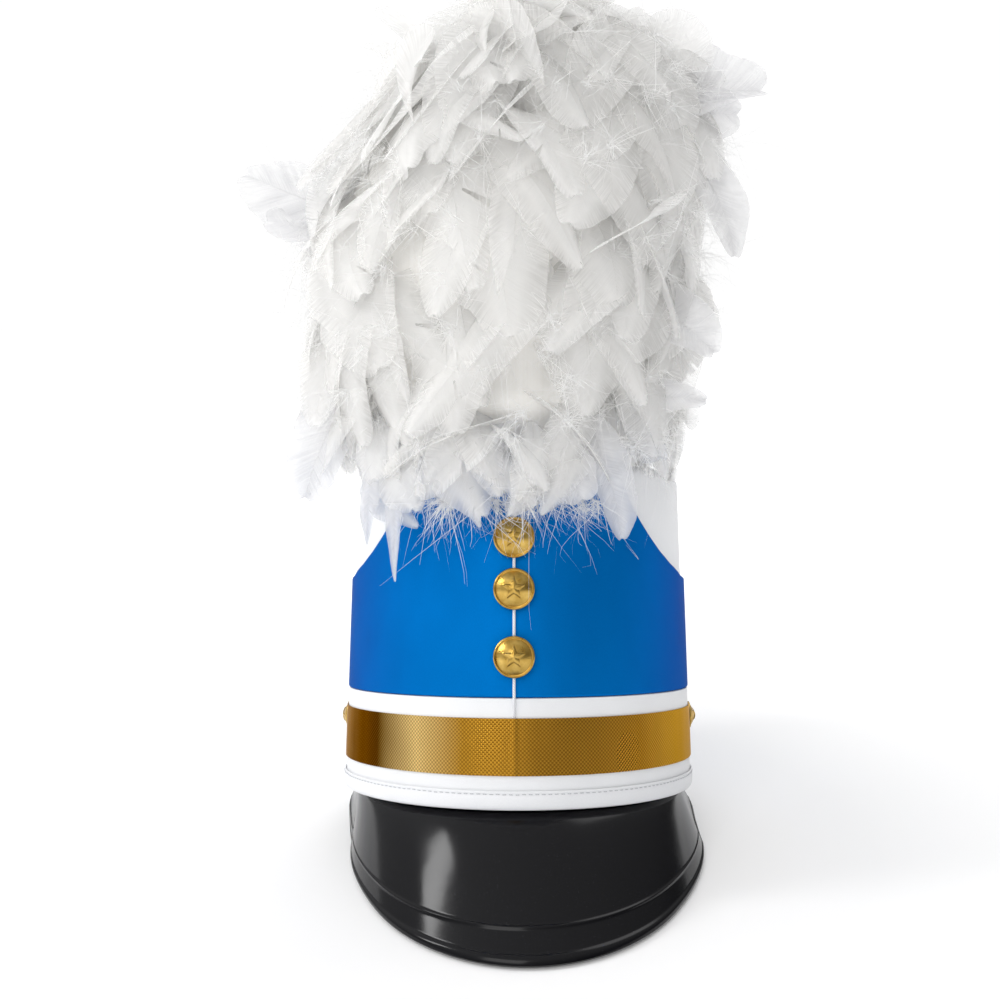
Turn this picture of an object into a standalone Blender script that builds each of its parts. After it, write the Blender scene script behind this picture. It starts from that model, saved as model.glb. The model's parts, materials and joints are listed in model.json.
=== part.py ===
"""Marching band hat with a feather plume, at its real size, in metres, +Z up.

The hat is modelled in its own frame: the rim's centre at the origin, the crown rising along +Z and
the front facing -Y. Everything hangs on one empty, which tips the hat back until the visor's front
edge and the back of the rim stand on the same level, as the hat rests by itself.
"""

import math

import bmesh
import bpy
import numpy as np
from mathutils import Vector

# Crown: a tapered oval wall with its top edge rolled in
CROWN_HEIGHT = 0.156
RIM_HALF_WIDTH = 0.0865
RIM_HALF_DEPTH = 0.098
TOP_HALF_WIDTH = 0.083
TOP_HALF_DEPTH = 0.0945
WALL = 0.002
ROLL_RADIUS = 0.005
LIP_WIDTH = 0.004
TOP_FLANGE = 0.003
TOP_UNDERCUT = 0.5
TOP_THICKNESS = 0.0018

# Bands round the foot of the crown
BASE_BAND_HEIGHT = 0.0487
BASE_BAND_THICKNESS = 0.0012
BINDING_HEIGHT = 0.0085
BINDING_THICKNESS = 0.0008
GOLD_BAND_FOOT = 0.015
GOLD_BAND_WIDTH = 0.025
GOLD_BAND_THICKNESS = 0.0004
GOLD_BAND_END_DEG = 98.0

# Blue panel
PANEL_FOOT = 0.049
PANEL_TOP_DROP = 0.006
PANEL_SHOULDER_HEIGHT = CROWN_HEIGHT * 2 / 3
PANEL_TOP_HEIGHT = CROWN_HEIGHT - PANEL_TOP_DROP
PANEL_THICKNESS = 0.0016
PANEL_SEAM = 0.0005

# Buttons and cord
FRONT_BUTTON_RADIUS = 0.00925
FRONT_BUTTON_DOME = 0.0048
FRONT_BUTTON_SHARES = (0.7692, 0.6218, 0.4295)
FRONT_BUTTON_HEIGHTS = tuple(CROWN_HEIGHT * share for share in FRONT_BUTTON_SHARES)
SIDE_BUTTON_RADIUS = 0.007
SIDE_BUTTON_DOME = 0.0034
SIDE_BUTTON_HEIGHT = 0.033
SIDE_BUTTON_DEG = 93.0
CORD_RADIUS = 0.00065
CORD_TOP_DROP = 0.0015
CORD_TOP_HEIGHT = PANEL_TOP_HEIGHT - CORD_TOP_DROP
EYE_WALL = 0.0006
EYE_HALF_WIDTH = 0.0019
EYE_HALF_HEIGHT = 0.002
BUTTON_RIM = 0.13
BUTTON_BASE = 0.22
STAR_POINT = 0.70
STAR_VALLEY = 0.30
STAR_LIFT = 0.06
STAR_PEAK = 2.2

# Visor
VISOR_HALF_WIDTH = 0.0818
VISOR_CENTRE_DEPTH = 0.025
VISOR_REACH = 0.1391
VISOR_SIDEWAYS = 0.0047
VISOR_DROP = 0.0567
VISOR_THICKNESS = 0.0016
VISOR_FLANGE_HEIGHT = 0.008
VISOR_BEAD_RADIUS = 0.0015
VISOR_LINE_HEIGHT = 0.00045
VISOR_SHELF = 0.20
VISOR_BEND = 0.45
VISOR_END_DROP = 2.2
VISOR_FULL_SHARE = 0.5
VISOR_THIN_BEAD = 0.6
VISOR_END_DEG = 88.0
VISOR_SIDE_DEG = 72.0

# Plume
PLUME_HEIGHT = 0.232
PLUME_HALF_WIDTH = 0.090
PLUME_HALF_DEPTH = 0.062
PLUME_FORWARD = 0.066
POST_RADIUS = 0.003
POST_LENGTH = 0.022
POST_SUNK = 0.1
LOCK_LENGTH = 0.064
LOCK_HALF_WIDTH = 0.0145
LOCK_HALF_THICKNESS = 0.0036
LOCK_ROOT = 0.78
LOCK_SPREAD = 0.60
LOCK_BULGE = 0.28
LOCK_SAG = 0.30
LOCK_VARIATION = 0.16
LOCK_CLEARANCE = 0.0026
LOCK_LAYER = 0.0005
LEAF_START = 0.15
LEAF_SPAN = 0.78
LEAF_POWER = 1.15
LEAF_LEAST = 0.25
FEATHER_HALF_THICKNESS = 0.0024
BUTTON_CLEAR_DEG = 12.0
BUTTON_CLEAR_FADE = 1.8

# Clearance between touching pieces, and round the visor's flange
GAP = 0.0003
VISOR_GAP = 0.0006

# Facets
OVAL_SIDES = 64
PANEL_SIDES = 104
VISOR_SIDES = 34
BUTTON_SIDES = 18
CORE_SIDES = 20
POST_SIDES = 12
CORD_STATIONS = 12
EYE_SIDES = 10
LOCK_STATIONS = 4
SHARP_DEG = 35.0

# The panel's upper edge: turn from the front as a share of a quarter turn, and rise as a share of
# the height from its shoulders to its top
PANEL_EDGE = (
    {"turn": 0.000, "rise": 1.00},
    {"turn": 0.367, "rise": 1.00},
    {"turn": 0.415, "rise": 0.85},
    {"turn": 0.442, "rise": 0.70},
    {"turn": 0.480, "rise": 0.56},
    {"turn": 0.533, "rise": 0.40},
    {"turn": 0.594, "rise": 0.26},
    {"turn": 0.671, "rise": 0.14},
    {"turn": 0.800, "rise": 0.02},
    {"turn": 0.890, "rise": 0.00},
    {"turn": 2.000, "rise": 0.00},
)

# A button's edge: way out as a share of its radius, and height as a share of its base
BUTTON_EDGE = (
    {"out": 0.94, "up": 0.0},
    {"out": 1.0, "up": 0.5},
    {"out": 0.965, "up": 1.35},
)
BUTTON_DOME_RINGS = (0.72, 0.40)

# The visor from its flange to its edge: way out as a share of its width, and how far the upper and
# lower faces stand off its middle, as shares of half its thickness, its raised line and its bead
VISOR_SECTION = (
    {"out": 0.00, "half": 1.0, "line": 0.0, "bead": 0.0},
    {"out": 0.08, "half": 1.0, "line": 0.0, "bead": 0.0},
    {"out": 0.25, "half": 1.0, "line": 0.0, "bead": 0.0},
    {"out": 0.50, "half": 1.0, "line": 0.0, "bead": 0.0},
    {"out": 0.775, "half": 1.0, "line": 0.0, "bead": 0.0},
    {"out": 0.80, "half": 1.0, "line": 1.0, "bead": 0.0},
    {"out": 0.825, "half": 1.0, "line": 0.0, "bead": 0.0},
    {"out": 0.935, "half": 1.0, "line": 0.0, "bead": 0.0},
    {"out": 0.965, "half": 0.0, "line": 0.0, "bead": 1.0},
    {"out": 1.00, "half": 0.0, "line": 0.0, "bead": 0.4},
)

# The plume's core: height, width and depth as shares of the plume's own, and how far its middle
# stands aside as a share of its half width
PLUME_SECTIONS = (
    {"height": 0.000, "width": 0.62, "depth": 0.56, "aside": -0.06},
    {"height": 0.060, "width": 0.84, "depth": 0.82, "aside": -0.08},
    {"height": 0.180, "width": 0.90, "depth": 0.95, "aside": -0.11},
    {"height": 0.380, "width": 1.00, "depth": 1.00, "aside": -0.08},
    {"height": 0.560, "width": 1.00, "depth": 1.00, "aside": -0.03},
    {"height": 0.660, "width": 0.94, "depth": 0.96, "aside": 0.05},
    {"height": 0.760, "width": 0.85, "depth": 0.88, "aside": 0.12},
    {"height": 0.850, "width": 0.72, "depth": 0.76, "aside": 0.11},
    {"height": 0.930, "width": 0.48, "depth": 0.54, "aside": 0.05},
    {"height": 0.980, "width": 0.24, "depth": 0.28, "aside": 0.03},
)

# Rings of drooping locks: height as a share of the plume's, how many, turn of the first in shares of
# a step, length and spread as shares of a lock's, and droop from level in degrees
LOCK_RINGS = (
    {"height": 0.12, "count": 12, "turn": 0.0, "length": 0.85, "droop": 77.0},
    {"height": 0.29, "count": 11, "turn": 0.5, "length": 1.00, "droop": 74.0},
    {"height": 0.47, "count": 10, "turn": 0.1, "length": 1.00, "droop": 70.0},
    {"height": 0.65, "count": 9, "turn": 0.6, "length": 0.95, "droop": 56.0},
    {"height": 0.81, "count": 7, "turn": 0.3, "length": 0.70, "droop": 40.0},
    {"height": 0.92, "count": 5, "turn": 0.8, "length": 0.50, "droop": 18.0},
)

# Single feathers that stand out: root and tip as shares of the plume's half width (x), half depth
# (y, forward is negative) and height (z); bow is how far the middle stands up, as a share of a
# lock's length, and wide is a share of a lock's half width
FEATHERS = (
    {"name": "left wing", "root": (-0.58, -0.2, 0.52), "tip": (-1.4, -0.25, 0.585), "bow": 0.156, "wide": 1.17},
    {"name": "right wing", "root": (0.47, -0.2, 0.72), "tip": (1.288, -0.25, 0.765), "bow": 0.219, "wide": 1.1},
    {"name": "right long", "root": (0.58, -0.3, 0.6), "tip": (1.11, -0.35, 0.41), "bow": 0.188, "wide": 0.62},
    {"name": "right mid", "root": (0.51, -0.3, 0.33), "tip": (1.0, -0.35, 0.205), "bow": 0.094, "wide": 0.62},
    {"name": "right spike", "root": (0.42, -0.4, 0.1), "tip": (0.95, -0.45, 0.11), "bow": -0.063, "wide": 0.345},
    {"name": "left low", "root": (-0.67, -0.2, 0.155), "tip": (-1.03, -0.45, -0.075), "bow": 0.156, "wide": 0.9},
    {"name": "left drop", "root": (-0.42, -0.55, 0.1), "tip": (-0.58, -0.6, -0.235), "bow": 0.094, "wide": 0.31},
    {"name": "right drop", "root": (0.37, -0.55, 0.1), "tip": (0.52, -0.62, -0.16), "bow": 0.094, "wide": 0.59},
    {"name": "front drop", "root": (-0.09, -0.65, 0.08), "tip": (-0.16, -0.9, -0.14), "bow": 0.094, "wide": 0.41},
    {"name": "right skirt", "root": (0.11, -0.65, 0.08), "tip": (0.19, -0.9, -0.13), "bow": 0.094, "wide": 0.48},
    {"name": "left skirt", "root": (-0.28, -0.6, 0.08), "tip": (-0.37, -0.82, -0.125), "bow": 0.094, "wide": 0.55},
)

for old in list(bpy.data.objects):
    bpy.data.objects.remove(old, do_unlink=True)


def material(name, color, roughness, metallic=0.0):
    """A plain Principled finish."""
    made = bpy.data.materials.new(name)
    made.use_nodes = True
    shader = made.node_tree.nodes["Principled BSDF"]
    shader.inputs["Base Color"].default_value = (*color, 1.0)
    shader.inputs["Roughness"].default_value = roughness
    shader.inputs["Metallic"].default_value = metallic
    return made


WHITE_CLOTH = material("white_cloth", (0.85, 0.86, 0.87), 0.55)
BLUE_CLOTH = material("blue_cloth", (0.004, 0.17, 0.60), 0.6)
GOLD_RIBBON = material("gold_ribbon", (0.62, 0.35, 0.07), 0.3, 1.0)
GOLD_METAL = material("gold_metal", (0.72, 0.48, 0.12), 0.25, 1.0)
BLACK_GLOSS = material("black_gloss", (0.012, 0.012, 0.016), 0.1)
FEATHER = material("feather", (0.88, 0.88, 0.86), 0.8)


def add_object(name, mesh, finish, parent):
    """Put a mesh in the scene under its parent, shaded smooth with sharp edges kept."""
    mesh.materials.clear()
    mesh.materials.append(finish)
    mesh.shade_smooth()
    mesh.set_sharp_from_angle(angle=math.radians(SHARP_DEG))
    made = bpy.data.objects.new(name, mesh)
    bpy.context.scene.collection.objects.link(made)
    made.parent = parent
    return made


def guide(name, mesh, parent):
    """A helper shape that only takes part in a Boolean."""
    made = bpy.data.objects.new(name, mesh)
    bpy.context.scene.collection.objects.link(made)
    made.parent = parent
    made.hide_render = True
    made.display_type = "WIRE"
    return made


def solid_mesh(name, points, faces):
    """A mesh from points and faces, with every face turned outwards."""
    made = bpy.data.meshes.new(name)
    made.from_pydata([tuple(map(float, p)) for p in points], [], faces)
    work = bmesh.new()
    work.from_mesh(made)
    bmesh.ops.recalc_face_normals(work, faces=work.faces)
    work.to_mesh(made)
    work.free()
    return made


def swept(name, sections, ring):
    """Skin closed sections, an array of stations by points by xyz, into one body.

    A ring joins its last station to its first; an open sweep gets a flat cap at each end.
    """
    stations, count, _ = sections.shape
    faces = []
    for i in range(stations if ring else stations - 1):
        here = i * count
        there = (i + 1) % stations * count
        for j in range(count):
            k = (j + 1) % count
            faces.append((here + j, here + k, there + k, there + j))
    if not ring:
        faces.append(tuple(range(count - 1, -1, -1)))
        faces.append(tuple((stations - 1) * count + j for j in range(count)))
    return solid_mesh(name, sections.reshape(-1, 3), faces)


def turned(name, profile, sides):
    """Turn (radius, height) points, from the lower pole to the upper one, round +Z."""
    turns = np.arange(sides) * 2 * math.pi / sides
    points = [(0.0, 0.0, profile[0][1])]
    for radius, height in profile[1:-1]:
        points += [(radius * math.cos(t), radius * math.sin(t), height) for t in turns]
    points.append((0.0, 0.0, profile[-1][1]))
    rings = len(profile) - 2
    last = len(points) - 1
    faces = []
    for j in range(sides):
        k = (j + 1) % sides
        faces.append((0, 1 + k, 1 + j))
        for i in range(rings - 1):
            a = 1 + i * sides
            b = a + sides
            faces.append((a + j, a + k, b + k, b + j))
        a = 1 + (rings - 1) * sides
        faces.append((a + j, a + k, last))
    return solid_mesh(name, points, faces)


def baked(base, name, *helpers):
    """The base mesh united with its helpers, as one new mesh."""
    for helper in helpers:
        union = base.modifiers.new("unite", "BOOLEAN")
        union.operation = "UNION"
        union.solver = "EXACT"
        union.object = helper
    bpy.context.view_layer.update()
    depsgraph = bpy.context.evaluated_depsgraph_get()
    made = bpy.data.meshes.new_from_object(base.evaluated_get(depsgraph))
    made.name = name
    for used in (base, *helpers):
        bpy.data.objects.remove(used, do_unlink=True)
    return made


def half_width(height):
    """Half the crown's width, outside the wall, at a height above the rim."""
    return RIM_HALF_WIDTH + (TOP_HALF_WIDTH - RIM_HALF_WIDTH) * height / CROWN_HEIGHT


def half_depth(height):
    """Half the crown's depth, outside the wall, at a height above the rim."""
    return RIM_HALF_DEPTH + (TOP_HALF_DEPTH - RIM_HALF_DEPTH) * height / CROWN_HEIGHT


def on_crown(turn, out, height):
    """The point at a turn from the front, at a height, standing out from the wall's outer face."""
    return (
        (half_width(height) + out) * np.sin(turn),
        -(half_depth(height) + out) * np.cos(turn),
        height + 0.0 * turn,
    )


def oval_sections(turns, profile):
    """A profile of (out, height) pairs carried round the crown at the given turns."""
    columns = [np.stack(on_crown(turns, out, height), axis=-1) for out, height in profile]
    return np.stack(columns, axis=1)


def ring_turns(sides):
    """Even turns round a whole oval, starting at the front."""
    return np.arange(sides) * 2 * math.pi / sides


def crown_wall(parent):
    """The wall's section: up the outside, round the rolled edge to its lip, and down the inside."""
    foot = BINDING_THICKNESS + GAP
    roll_centre = CROWN_HEIGHT - ROLL_RADIUS
    bends = np.radians((22.5, 45.0, 67.5, 90.0))
    outer = [(0.0, foot), (0.0, roll_centre)]
    for bend in bends:
        outer.append((-ROLL_RADIUS * (1 - math.cos(bend)), roll_centre + ROLL_RADIUS * math.sin(bend)))
    lip = -ROLL_RADIUS - LIP_WIDTH
    inner_radius = ROLL_RADIUS - WALL
    inner = [(lip, CROWN_HEIGHT), (lip, CROWN_HEIGHT - WALL)]
    for bend in bends[::-2]:
        inner.append((-ROLL_RADIUS + inner_radius * math.cos(bend), roll_centre + inner_radius * math.sin(bend)))
    inner += [(-WALL, roll_centre), (-WALL, foot)]
    mesh = swept("crown_wall", oval_sections(ring_turns(OVAL_SIDES), outer + inner), True)
    return add_object("crown_wall", mesh, WHITE_CLOTH, parent)


def crown_top(parent):
    """An oval top: a flange under the wall's lip and a raised middle that fills the lip's opening."""
    lip = -ROLL_RADIUS - LIP_WIDTH
    seam = lip - GAP
    flange = min(lip + TOP_FLANGE, -ROLL_RADIUS)
    upper = CROWN_HEIGHT
    step = CROWN_HEIGHT - WALL - GAP
    lower = step - TOP_THICKNESS
    turns = ring_turns(OVAL_SIDES)
    levels = ((seam - TOP_UNDERCUT * LIP_WIDTH, lower), (flange, lower), (flange, step), (seam, step), (seam, upper))
    sections = oval_sections(turns, levels)
    count = len(levels)
    faces = []
    for i in range(OVAL_SIDES):
        here = i * count
        there = (i + 1) % OVAL_SIDES * count
        for j in range(count - 1):
            faces.append((here + j, here + j + 1, there + j + 1, there + j))
    faces.append(tuple(i * count for i in range(OVAL_SIDES)))
    faces.append(tuple(i * count + count - 1 for i in range(OVAL_SIDES)))
    mesh = solid_mesh("crown_top", sections.reshape(-1, 3), faces)
    top = add_object("crown_top", mesh, WHITE_CLOTH, parent)
    drill = bpy.data.meshes.new("post_hole")
    work = bmesh.new()
    bmesh.ops.create_cone(
        work,
        cap_ends=True,
        segments=16,
        radius1=POST_RADIUS + GAP,
        radius2=POST_RADIUS + GAP,
        depth=4 * (WALL + TOP_THICKNESS),
    )
    work.to_mesh(drill)
    work.free()
    hole = guide("post_hole", drill, parent)
    hole.location = (0.0, -PLUME_FORWARD, CROWN_HEIGHT)
    cut = top.modifiers.new("post_hole", "BOOLEAN")
    cut.operation = "DIFFERENCE"
    cut.solver = "EXACT"
    cut.object = hole
    return top


def base_band(parent):
    inner = GAP
    outer = GAP + BASE_BAND_THICKNESS
    foot = BINDING_THICKNESS + GAP
    profile = ((outer, foot), (outer, BASE_BAND_HEIGHT), (inner, BASE_BAND_HEIGHT), (inner, foot))
    mesh = swept("base_band", oval_sections(ring_turns(OVAL_SIDES), profile), True)
    return add_object("base_band", mesh, WHITE_CLOTH, parent)


def binding_outside():
    """How far the binding's outer face stands out from the wall."""
    return GAP + BASE_BAND_THICKNESS + GAP + BINDING_THICKNESS


def rim_binding(parent):
    """A folded strip: its outer leg over the base band, its inner leg inside the wall."""
    outer = binding_outside()
    outer_face = outer - BINDING_THICKNESS
    inner_face = -WALL - GAP
    inner = inner_face - BINDING_THICKNESS
    profile = (
        (outer, BINDING_HEIGHT),
        (outer, BINDING_THICKNESS),
        (outer_face, 0.0),
        (inner, 0.0),
        (inner, BINDING_HEIGHT),
        (inner_face, BINDING_HEIGHT),
        (inner_face, BINDING_THICKNESS),
        (outer_face, BINDING_THICKNESS),
        (outer_face, BINDING_HEIGHT),
    )
    mesh = swept("rim_binding", oval_sections(ring_turns(OVAL_SIDES), profile), True)
    return add_object("rim_binding", mesh, WHITE_CLOTH, parent)


def gold_outside():
    """How far the gold band's outer face stands out from the wall."""
    return GAP + BASE_BAND_THICKNESS + GAP + GOLD_BAND_THICKNESS


def gold_band(parent):
    """A ribbon round the front, from side button to side button."""
    step = 360.0 / OVAL_SIDES
    reach = int(GOLD_BAND_END_DEG // step)
    inside = np.arange(-reach, reach + 1) * step
    turns = np.radians(np.concatenate(([-GOLD_BAND_END_DEG], inside, [GOLD_BAND_END_DEG])))
    outer = gold_outside()
    inner = outer - GOLD_BAND_THICKNESS
    head = GOLD_BAND_FOOT + GOLD_BAND_WIDTH
    profile = ((outer, GOLD_BAND_FOOT), (outer, head), (inner, head), (inner, GOLD_BAND_FOOT))
    mesh = swept("gold_band", oval_sections(turns, profile), False)
    return add_object("gold_band", mesh, GOLD_RIBBON, parent)


def front_panel(parent):
    """The cloth's upper edge follows the table; the lower edge is level and the ends meet behind."""
    seam = PANEL_SEAM / RIM_HALF_WIDTH
    turns = np.linspace(-math.pi + seam, math.pi - seam, PANEL_SIDES + 1)
    share = np.abs(turns) / (math.pi / 2)
    rise = np.interp(share, [row["turn"] for row in PANEL_EDGE], [row["rise"] for row in PANEL_EDGE])
    edge = PANEL_SHOULDER_HEIGHT + rise * (PANEL_TOP_HEIGHT - PANEL_SHOULDER_HEIGHT)
    foot = np.full_like(edge, PANEL_FOOT)
    inner = GAP
    outer = GAP + PANEL_THICKNESS
    corners = ((outer, foot), (outer, edge), (inner, edge), (inner, foot))
    columns = [np.stack(on_crown(turns, out, height), axis=-1) for out, height in corners]
    mesh = swept("front_panel", np.stack(columns, axis=1), False)
    return add_object("front_panel", mesh, BLUE_CLOTH, parent)


def rear_contact():
    """How far behind the hat's axis the rim meets the floor."""
    return RIM_HALF_DEPTH + binding_outside() - BINDING_THICKNESS


def rest_slope():
    """Fall for each metre from the back of the rim to the visor's front edge."""
    return VISOR_DROP / (VISOR_REACH + rear_contact())


def visor_edge(turns):
    """The middle of the visor's bead: a half oval in front, then a rising bend to each end.

    The oval stands a little to one side of the crown's middle, and the bends lead back to it.
    """
    side = math.radians(VISOR_SIDE_DEG)
    end = math.radians(VISOR_END_DEG)
    slope = rest_slope()
    lift = VISOR_BEAD_RADIUS * math.hypot(1.0, slope)
    swing = np.clip(turns / side, -1.0, 1.0) * math.pi / 2
    x = VISOR_HALF_WIDTH * np.sin(swing)
    y = -VISOR_CENTRE_DEPTH - (VISOR_REACH - VISOR_CENTRE_DEPTH) * np.cos(swing)
    z = -(rear_contact() - y) * slope + lift
    t = np.clip((np.abs(turns) - side) / (end - side), 0.0, 1.0)
    start_z = -(rear_contact() + VISOR_CENTRE_DEPTH) * slope + lift
    middle_y = -VISOR_BEND * VISOR_CENTRE_DEPTH
    middle_z = start_z + (middle_y + VISOR_CENTRE_DEPTH) * slope
    past = t > 0
    y = np.where(past, (1 - t) ** 2 * -VISOR_CENTRE_DEPTH + 2 * t * (1 - t) * middle_y, y)
    end_z = -VISOR_END_DROP * VISOR_BEAD_RADIUS
    z = np.where(past, (1 - t) ** 2 * start_z + 2 * t * (1 - t) * middle_z + t**2 * end_z, z)
    return np.stack((x + VISOR_SIDEWAYS * (1 - t), y, z), axis=-1)


def visor(parent):
    """A gloss shell from a flange inside the rim out to a rolled bead.

    Its middle surface runs straight out in plan, while the drop grows as a flattened square root, so
    that it leaves the rim nearly level and ends steep. Both faces stand off that surface.
    """
    end = math.radians(VISOR_END_DEG)
    turns = np.linspace(-end, end, VISOR_SIDES + 1)
    inside = -WALL - GAP - BINDING_THICKNESS - VISOR_GAP - VISOR_THICKNESS / 2
    root_z = -VISOR_GAP - VISOR_THICKNESS / 2
    root = np.stack(
        (
            (RIM_HALF_WIDTH + inside) * np.sin(turns),
            -(RIM_HALF_DEPTH + inside) * np.cos(turns),
            np.full_like(turns, root_z),
        ),
        axis=-1,
    )
    edge = visor_edge(turns)
    width = np.linalg.norm(edge - root, axis=-1)
    strength = np.clip(width / (VISOR_FULL_SHARE * width.max()), 0.0, 1.0)
    rows = []
    halves = []
    tops = []
    for height in (VISOR_FLANGE_HEIGHT, -root_z):
        rows.append(root + np.array((0.0, 0.0, height - root_z)))
        halves.append(np.full_like(turns, VISOR_THICKNESS / 2))
        tops.append(np.zeros_like(turns))
    for row in VISOR_SECTION:
        out = row["out"]
        fall = (math.hypot(out, VISOR_SHELF) - VISOR_SHELF) / (math.hypot(1.0, VISOR_SHELF) - VISOR_SHELF)
        shares = np.array((out, out, fall))
        rows.append(root + (edge - root) * shares)
        plain = VISOR_THICKNESS / 2 * (row["half"] + row["bead"] * (1 - strength) * VISOR_THIN_BEAD)
        halves.append(plain + VISOR_BEAD_RADIUS * row["bead"] * strength)
        tops.append(VISOR_LINE_HEIGHT * row["line"] * strength)
    surface = np.stack(rows, axis=1)
    along = np.gradient(surface, axis=0)
    across = np.gradient(surface, axis=1)
    normal = np.cross(across, along)
    normal /= np.linalg.norm(normal, axis=-1, keepdims=True)
    middle = VISOR_SIDES // 2
    if normal[middle, -2, 2] < 0:
        normal = -normal
    half = np.stack(halves, axis=1)[..., None]
    top = np.stack(tops, axis=1)[..., None]
    upper = surface + normal * (half + top)
    lower = surface - normal * half
    sections = np.concatenate((upper, lower[:, ::-1]), axis=1)
    mesh = swept("visor", sections, False)
    return add_object("visor", mesh, BLACK_GLOSS, parent)


def dome_height(radius, rim, base, rise):
    """Height of a domed face that falls with the square of the distance from its middle."""
    return base + rise * (1 - (radius / rim) ** 2)


def star_mesh(rim, base, rise):
    """A five-pointed star that lies on the dome, its ridges rising to the middle."""
    lift = STAR_LIFT * rim
    points = [(0.0, 0.0, base + rise + STAR_PEAK * lift)]
    for sink in (lift, -2 * lift):
        for i in range(10):
            turn = math.pi / 2 + i * math.pi / 5
            radius = rim * (STAR_POINT if i % 2 == 0 else STAR_VALLEY)
            height = dome_height(radius, rim, base, rise) + sink
            points.append((radius * math.cos(turn), radius * math.sin(turn), height))
    points.append((0.0, 0.0, base))
    faces = []
    for i in range(10):
        k = (i + 1) % 10
        faces.append((0, 1 + i, 1 + k))
        faces.append((1 + i, 11 + i, 11 + k, 1 + k))
        faces.append((21, 11 + k, 11 + i))
    return solid_mesh("star", points, faces)


def button_mesh(name, radius, dome, eye_depth):
    """A domed button, back face at height 0, with a raised rim and a star on its dome."""
    face = radius * (1 - BUTTON_RIM)
    base = BUTTON_BASE * dome
    rise = dome - base
    profile = [(0.0, 0.0)]
    for row in BUTTON_EDGE:
        profile.append((row["out"] * radius, row["up"] * base))
    profile.append((face, base))
    for share in BUTTON_DOME_RINGS:
        profile.append((face * share, dome_height(face * share, face, base, rise)))
    profile.append((0.0, dome))
    body = guide("button_body", turned("button_body", profile, BUTTON_SIDES), None)
    star = guide("button_star", star_mesh(face, base, rise), None)
    helpers = [star]
    if eye_depth > 0:
        helpers.append(guide("button_eye", eye_mesh(eye_depth, 0.5 * base), None))
    return baked(body, name, *helpers)


def eye_mesh(depth, sink):
    """A block behind the button, bored from top to bottom for the cord."""
    bore = CORD_RADIUS + GAP
    low = -depth
    centre = low + EYE_WALL + bore
    turns = (np.arange(EYE_SIDES) + 0.5) * 2 * math.pi / EYE_SIDES
    ring = [(bore * math.cos(t), centre + bore * math.sin(t)) for t in turns]
    corners = [
        (EYE_HALF_WIDTH, low),
        (EYE_HALF_WIDTH, sink),
        (-EYE_HALF_WIDTH, sink),
        (-EYE_HALF_WIDTH, low),
    ]
    work = bmesh.new()
    loops = []
    for height in (-EYE_HALF_HEIGHT, EYE_HALF_HEIGHT):
        outer = [work.verts.new((x, height, z)) for x, z in corners]
        inner = [work.verts.new((x, height, z)) for x, z in ring]
        edges = []
        for loop in (outer, inner):
            for i, vertex in enumerate(loop):
                edges.append(work.edges.new((vertex, loop[(i + 1) % len(loop)])))
        bmesh.ops.triangle_fill(work, use_beauty=True, use_dissolve=False, edges=edges)
        loops.append((outer, inner))
    for low_loop, high_loop in zip(loops[0], loops[1]):
        for i in range(len(low_loop)):
            k = (i + 1) % len(low_loop)
            work.faces.new((low_loop[i], low_loop[k], high_loop[k], high_loop[i]))
    bmesh.ops.recalc_face_normals(work, faces=work.faces)
    made = bpy.data.meshes.new("eye")
    work.to_mesh(made)
    work.free()
    return made


def panel_outside():
    """How far the panel's outer face stands out from the wall."""
    return GAP + PANEL_THICKNESS


def cord_out():
    """How far the cord's middle stands out from the wall, where it runs in front of the panel."""
    return panel_outside() + GAP + EYE_WALL + GAP + CORD_RADIUS


def standoff():
    """How far a front button's back face stands off the panel."""
    return cord_out() - panel_outside() + CORD_RADIUS + GAP + 0.5 * EYE_WALL


def wall_lean():
    """Angle by which the front of the crown leans back."""
    return math.atan2(RIM_HALF_DEPTH - TOP_HALF_DEPTH, CROWN_HEIGHT)


def front_buttons(parent):
    mesh = button_mesh("front_button", FRONT_BUTTON_RADIUS, FRONT_BUTTON_DOME, standoff() - GAP)
    for number, height in enumerate(FRONT_BUTTON_HEIGHTS, start=1):
        made = add_object(f"front_button_{number}", mesh, GOLD_METAL, parent)
        made.location = (0.0, -(half_depth(height) + panel_outside() + standoff()), height)
        made.rotation_euler = (math.pi / 2 - wall_lean(), 0.0, 0.0)


def side_buttons(parent):
    """One on each end of the gold band, facing outwards."""
    mesh = button_mesh("side_button", SIDE_BUTTON_RADIUS, SIDE_BUTTON_DOME, 0.0)
    sagitta = SIDE_BUTTON_RADIUS**2 / (2 * RIM_HALF_DEPTH)
    out = gold_outside() + GAP + sagitta
    lean = math.atan2(RIM_HALF_WIDTH - TOP_HALF_WIDTH, CROWN_HEIGHT)
    for name, sign in (("side_button_left", -1), ("side_button_right", 1)):
        made = add_object(name, mesh, GOLD_METAL, parent)
        turn = math.radians(SIDE_BUTTON_DEG) * sign
        x, y, z = on_crown(turn, out, SIDE_BUTTON_HEIGHT)
        made.location = (x, y, z)
        facing = math.atan2(-math.cos(turn) * RIM_HALF_WIDTH, math.sin(turn) * RIM_HALF_DEPTH)
        made.rotation_euler = (0.0, math.pi / 2 - lean, facing)


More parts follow.
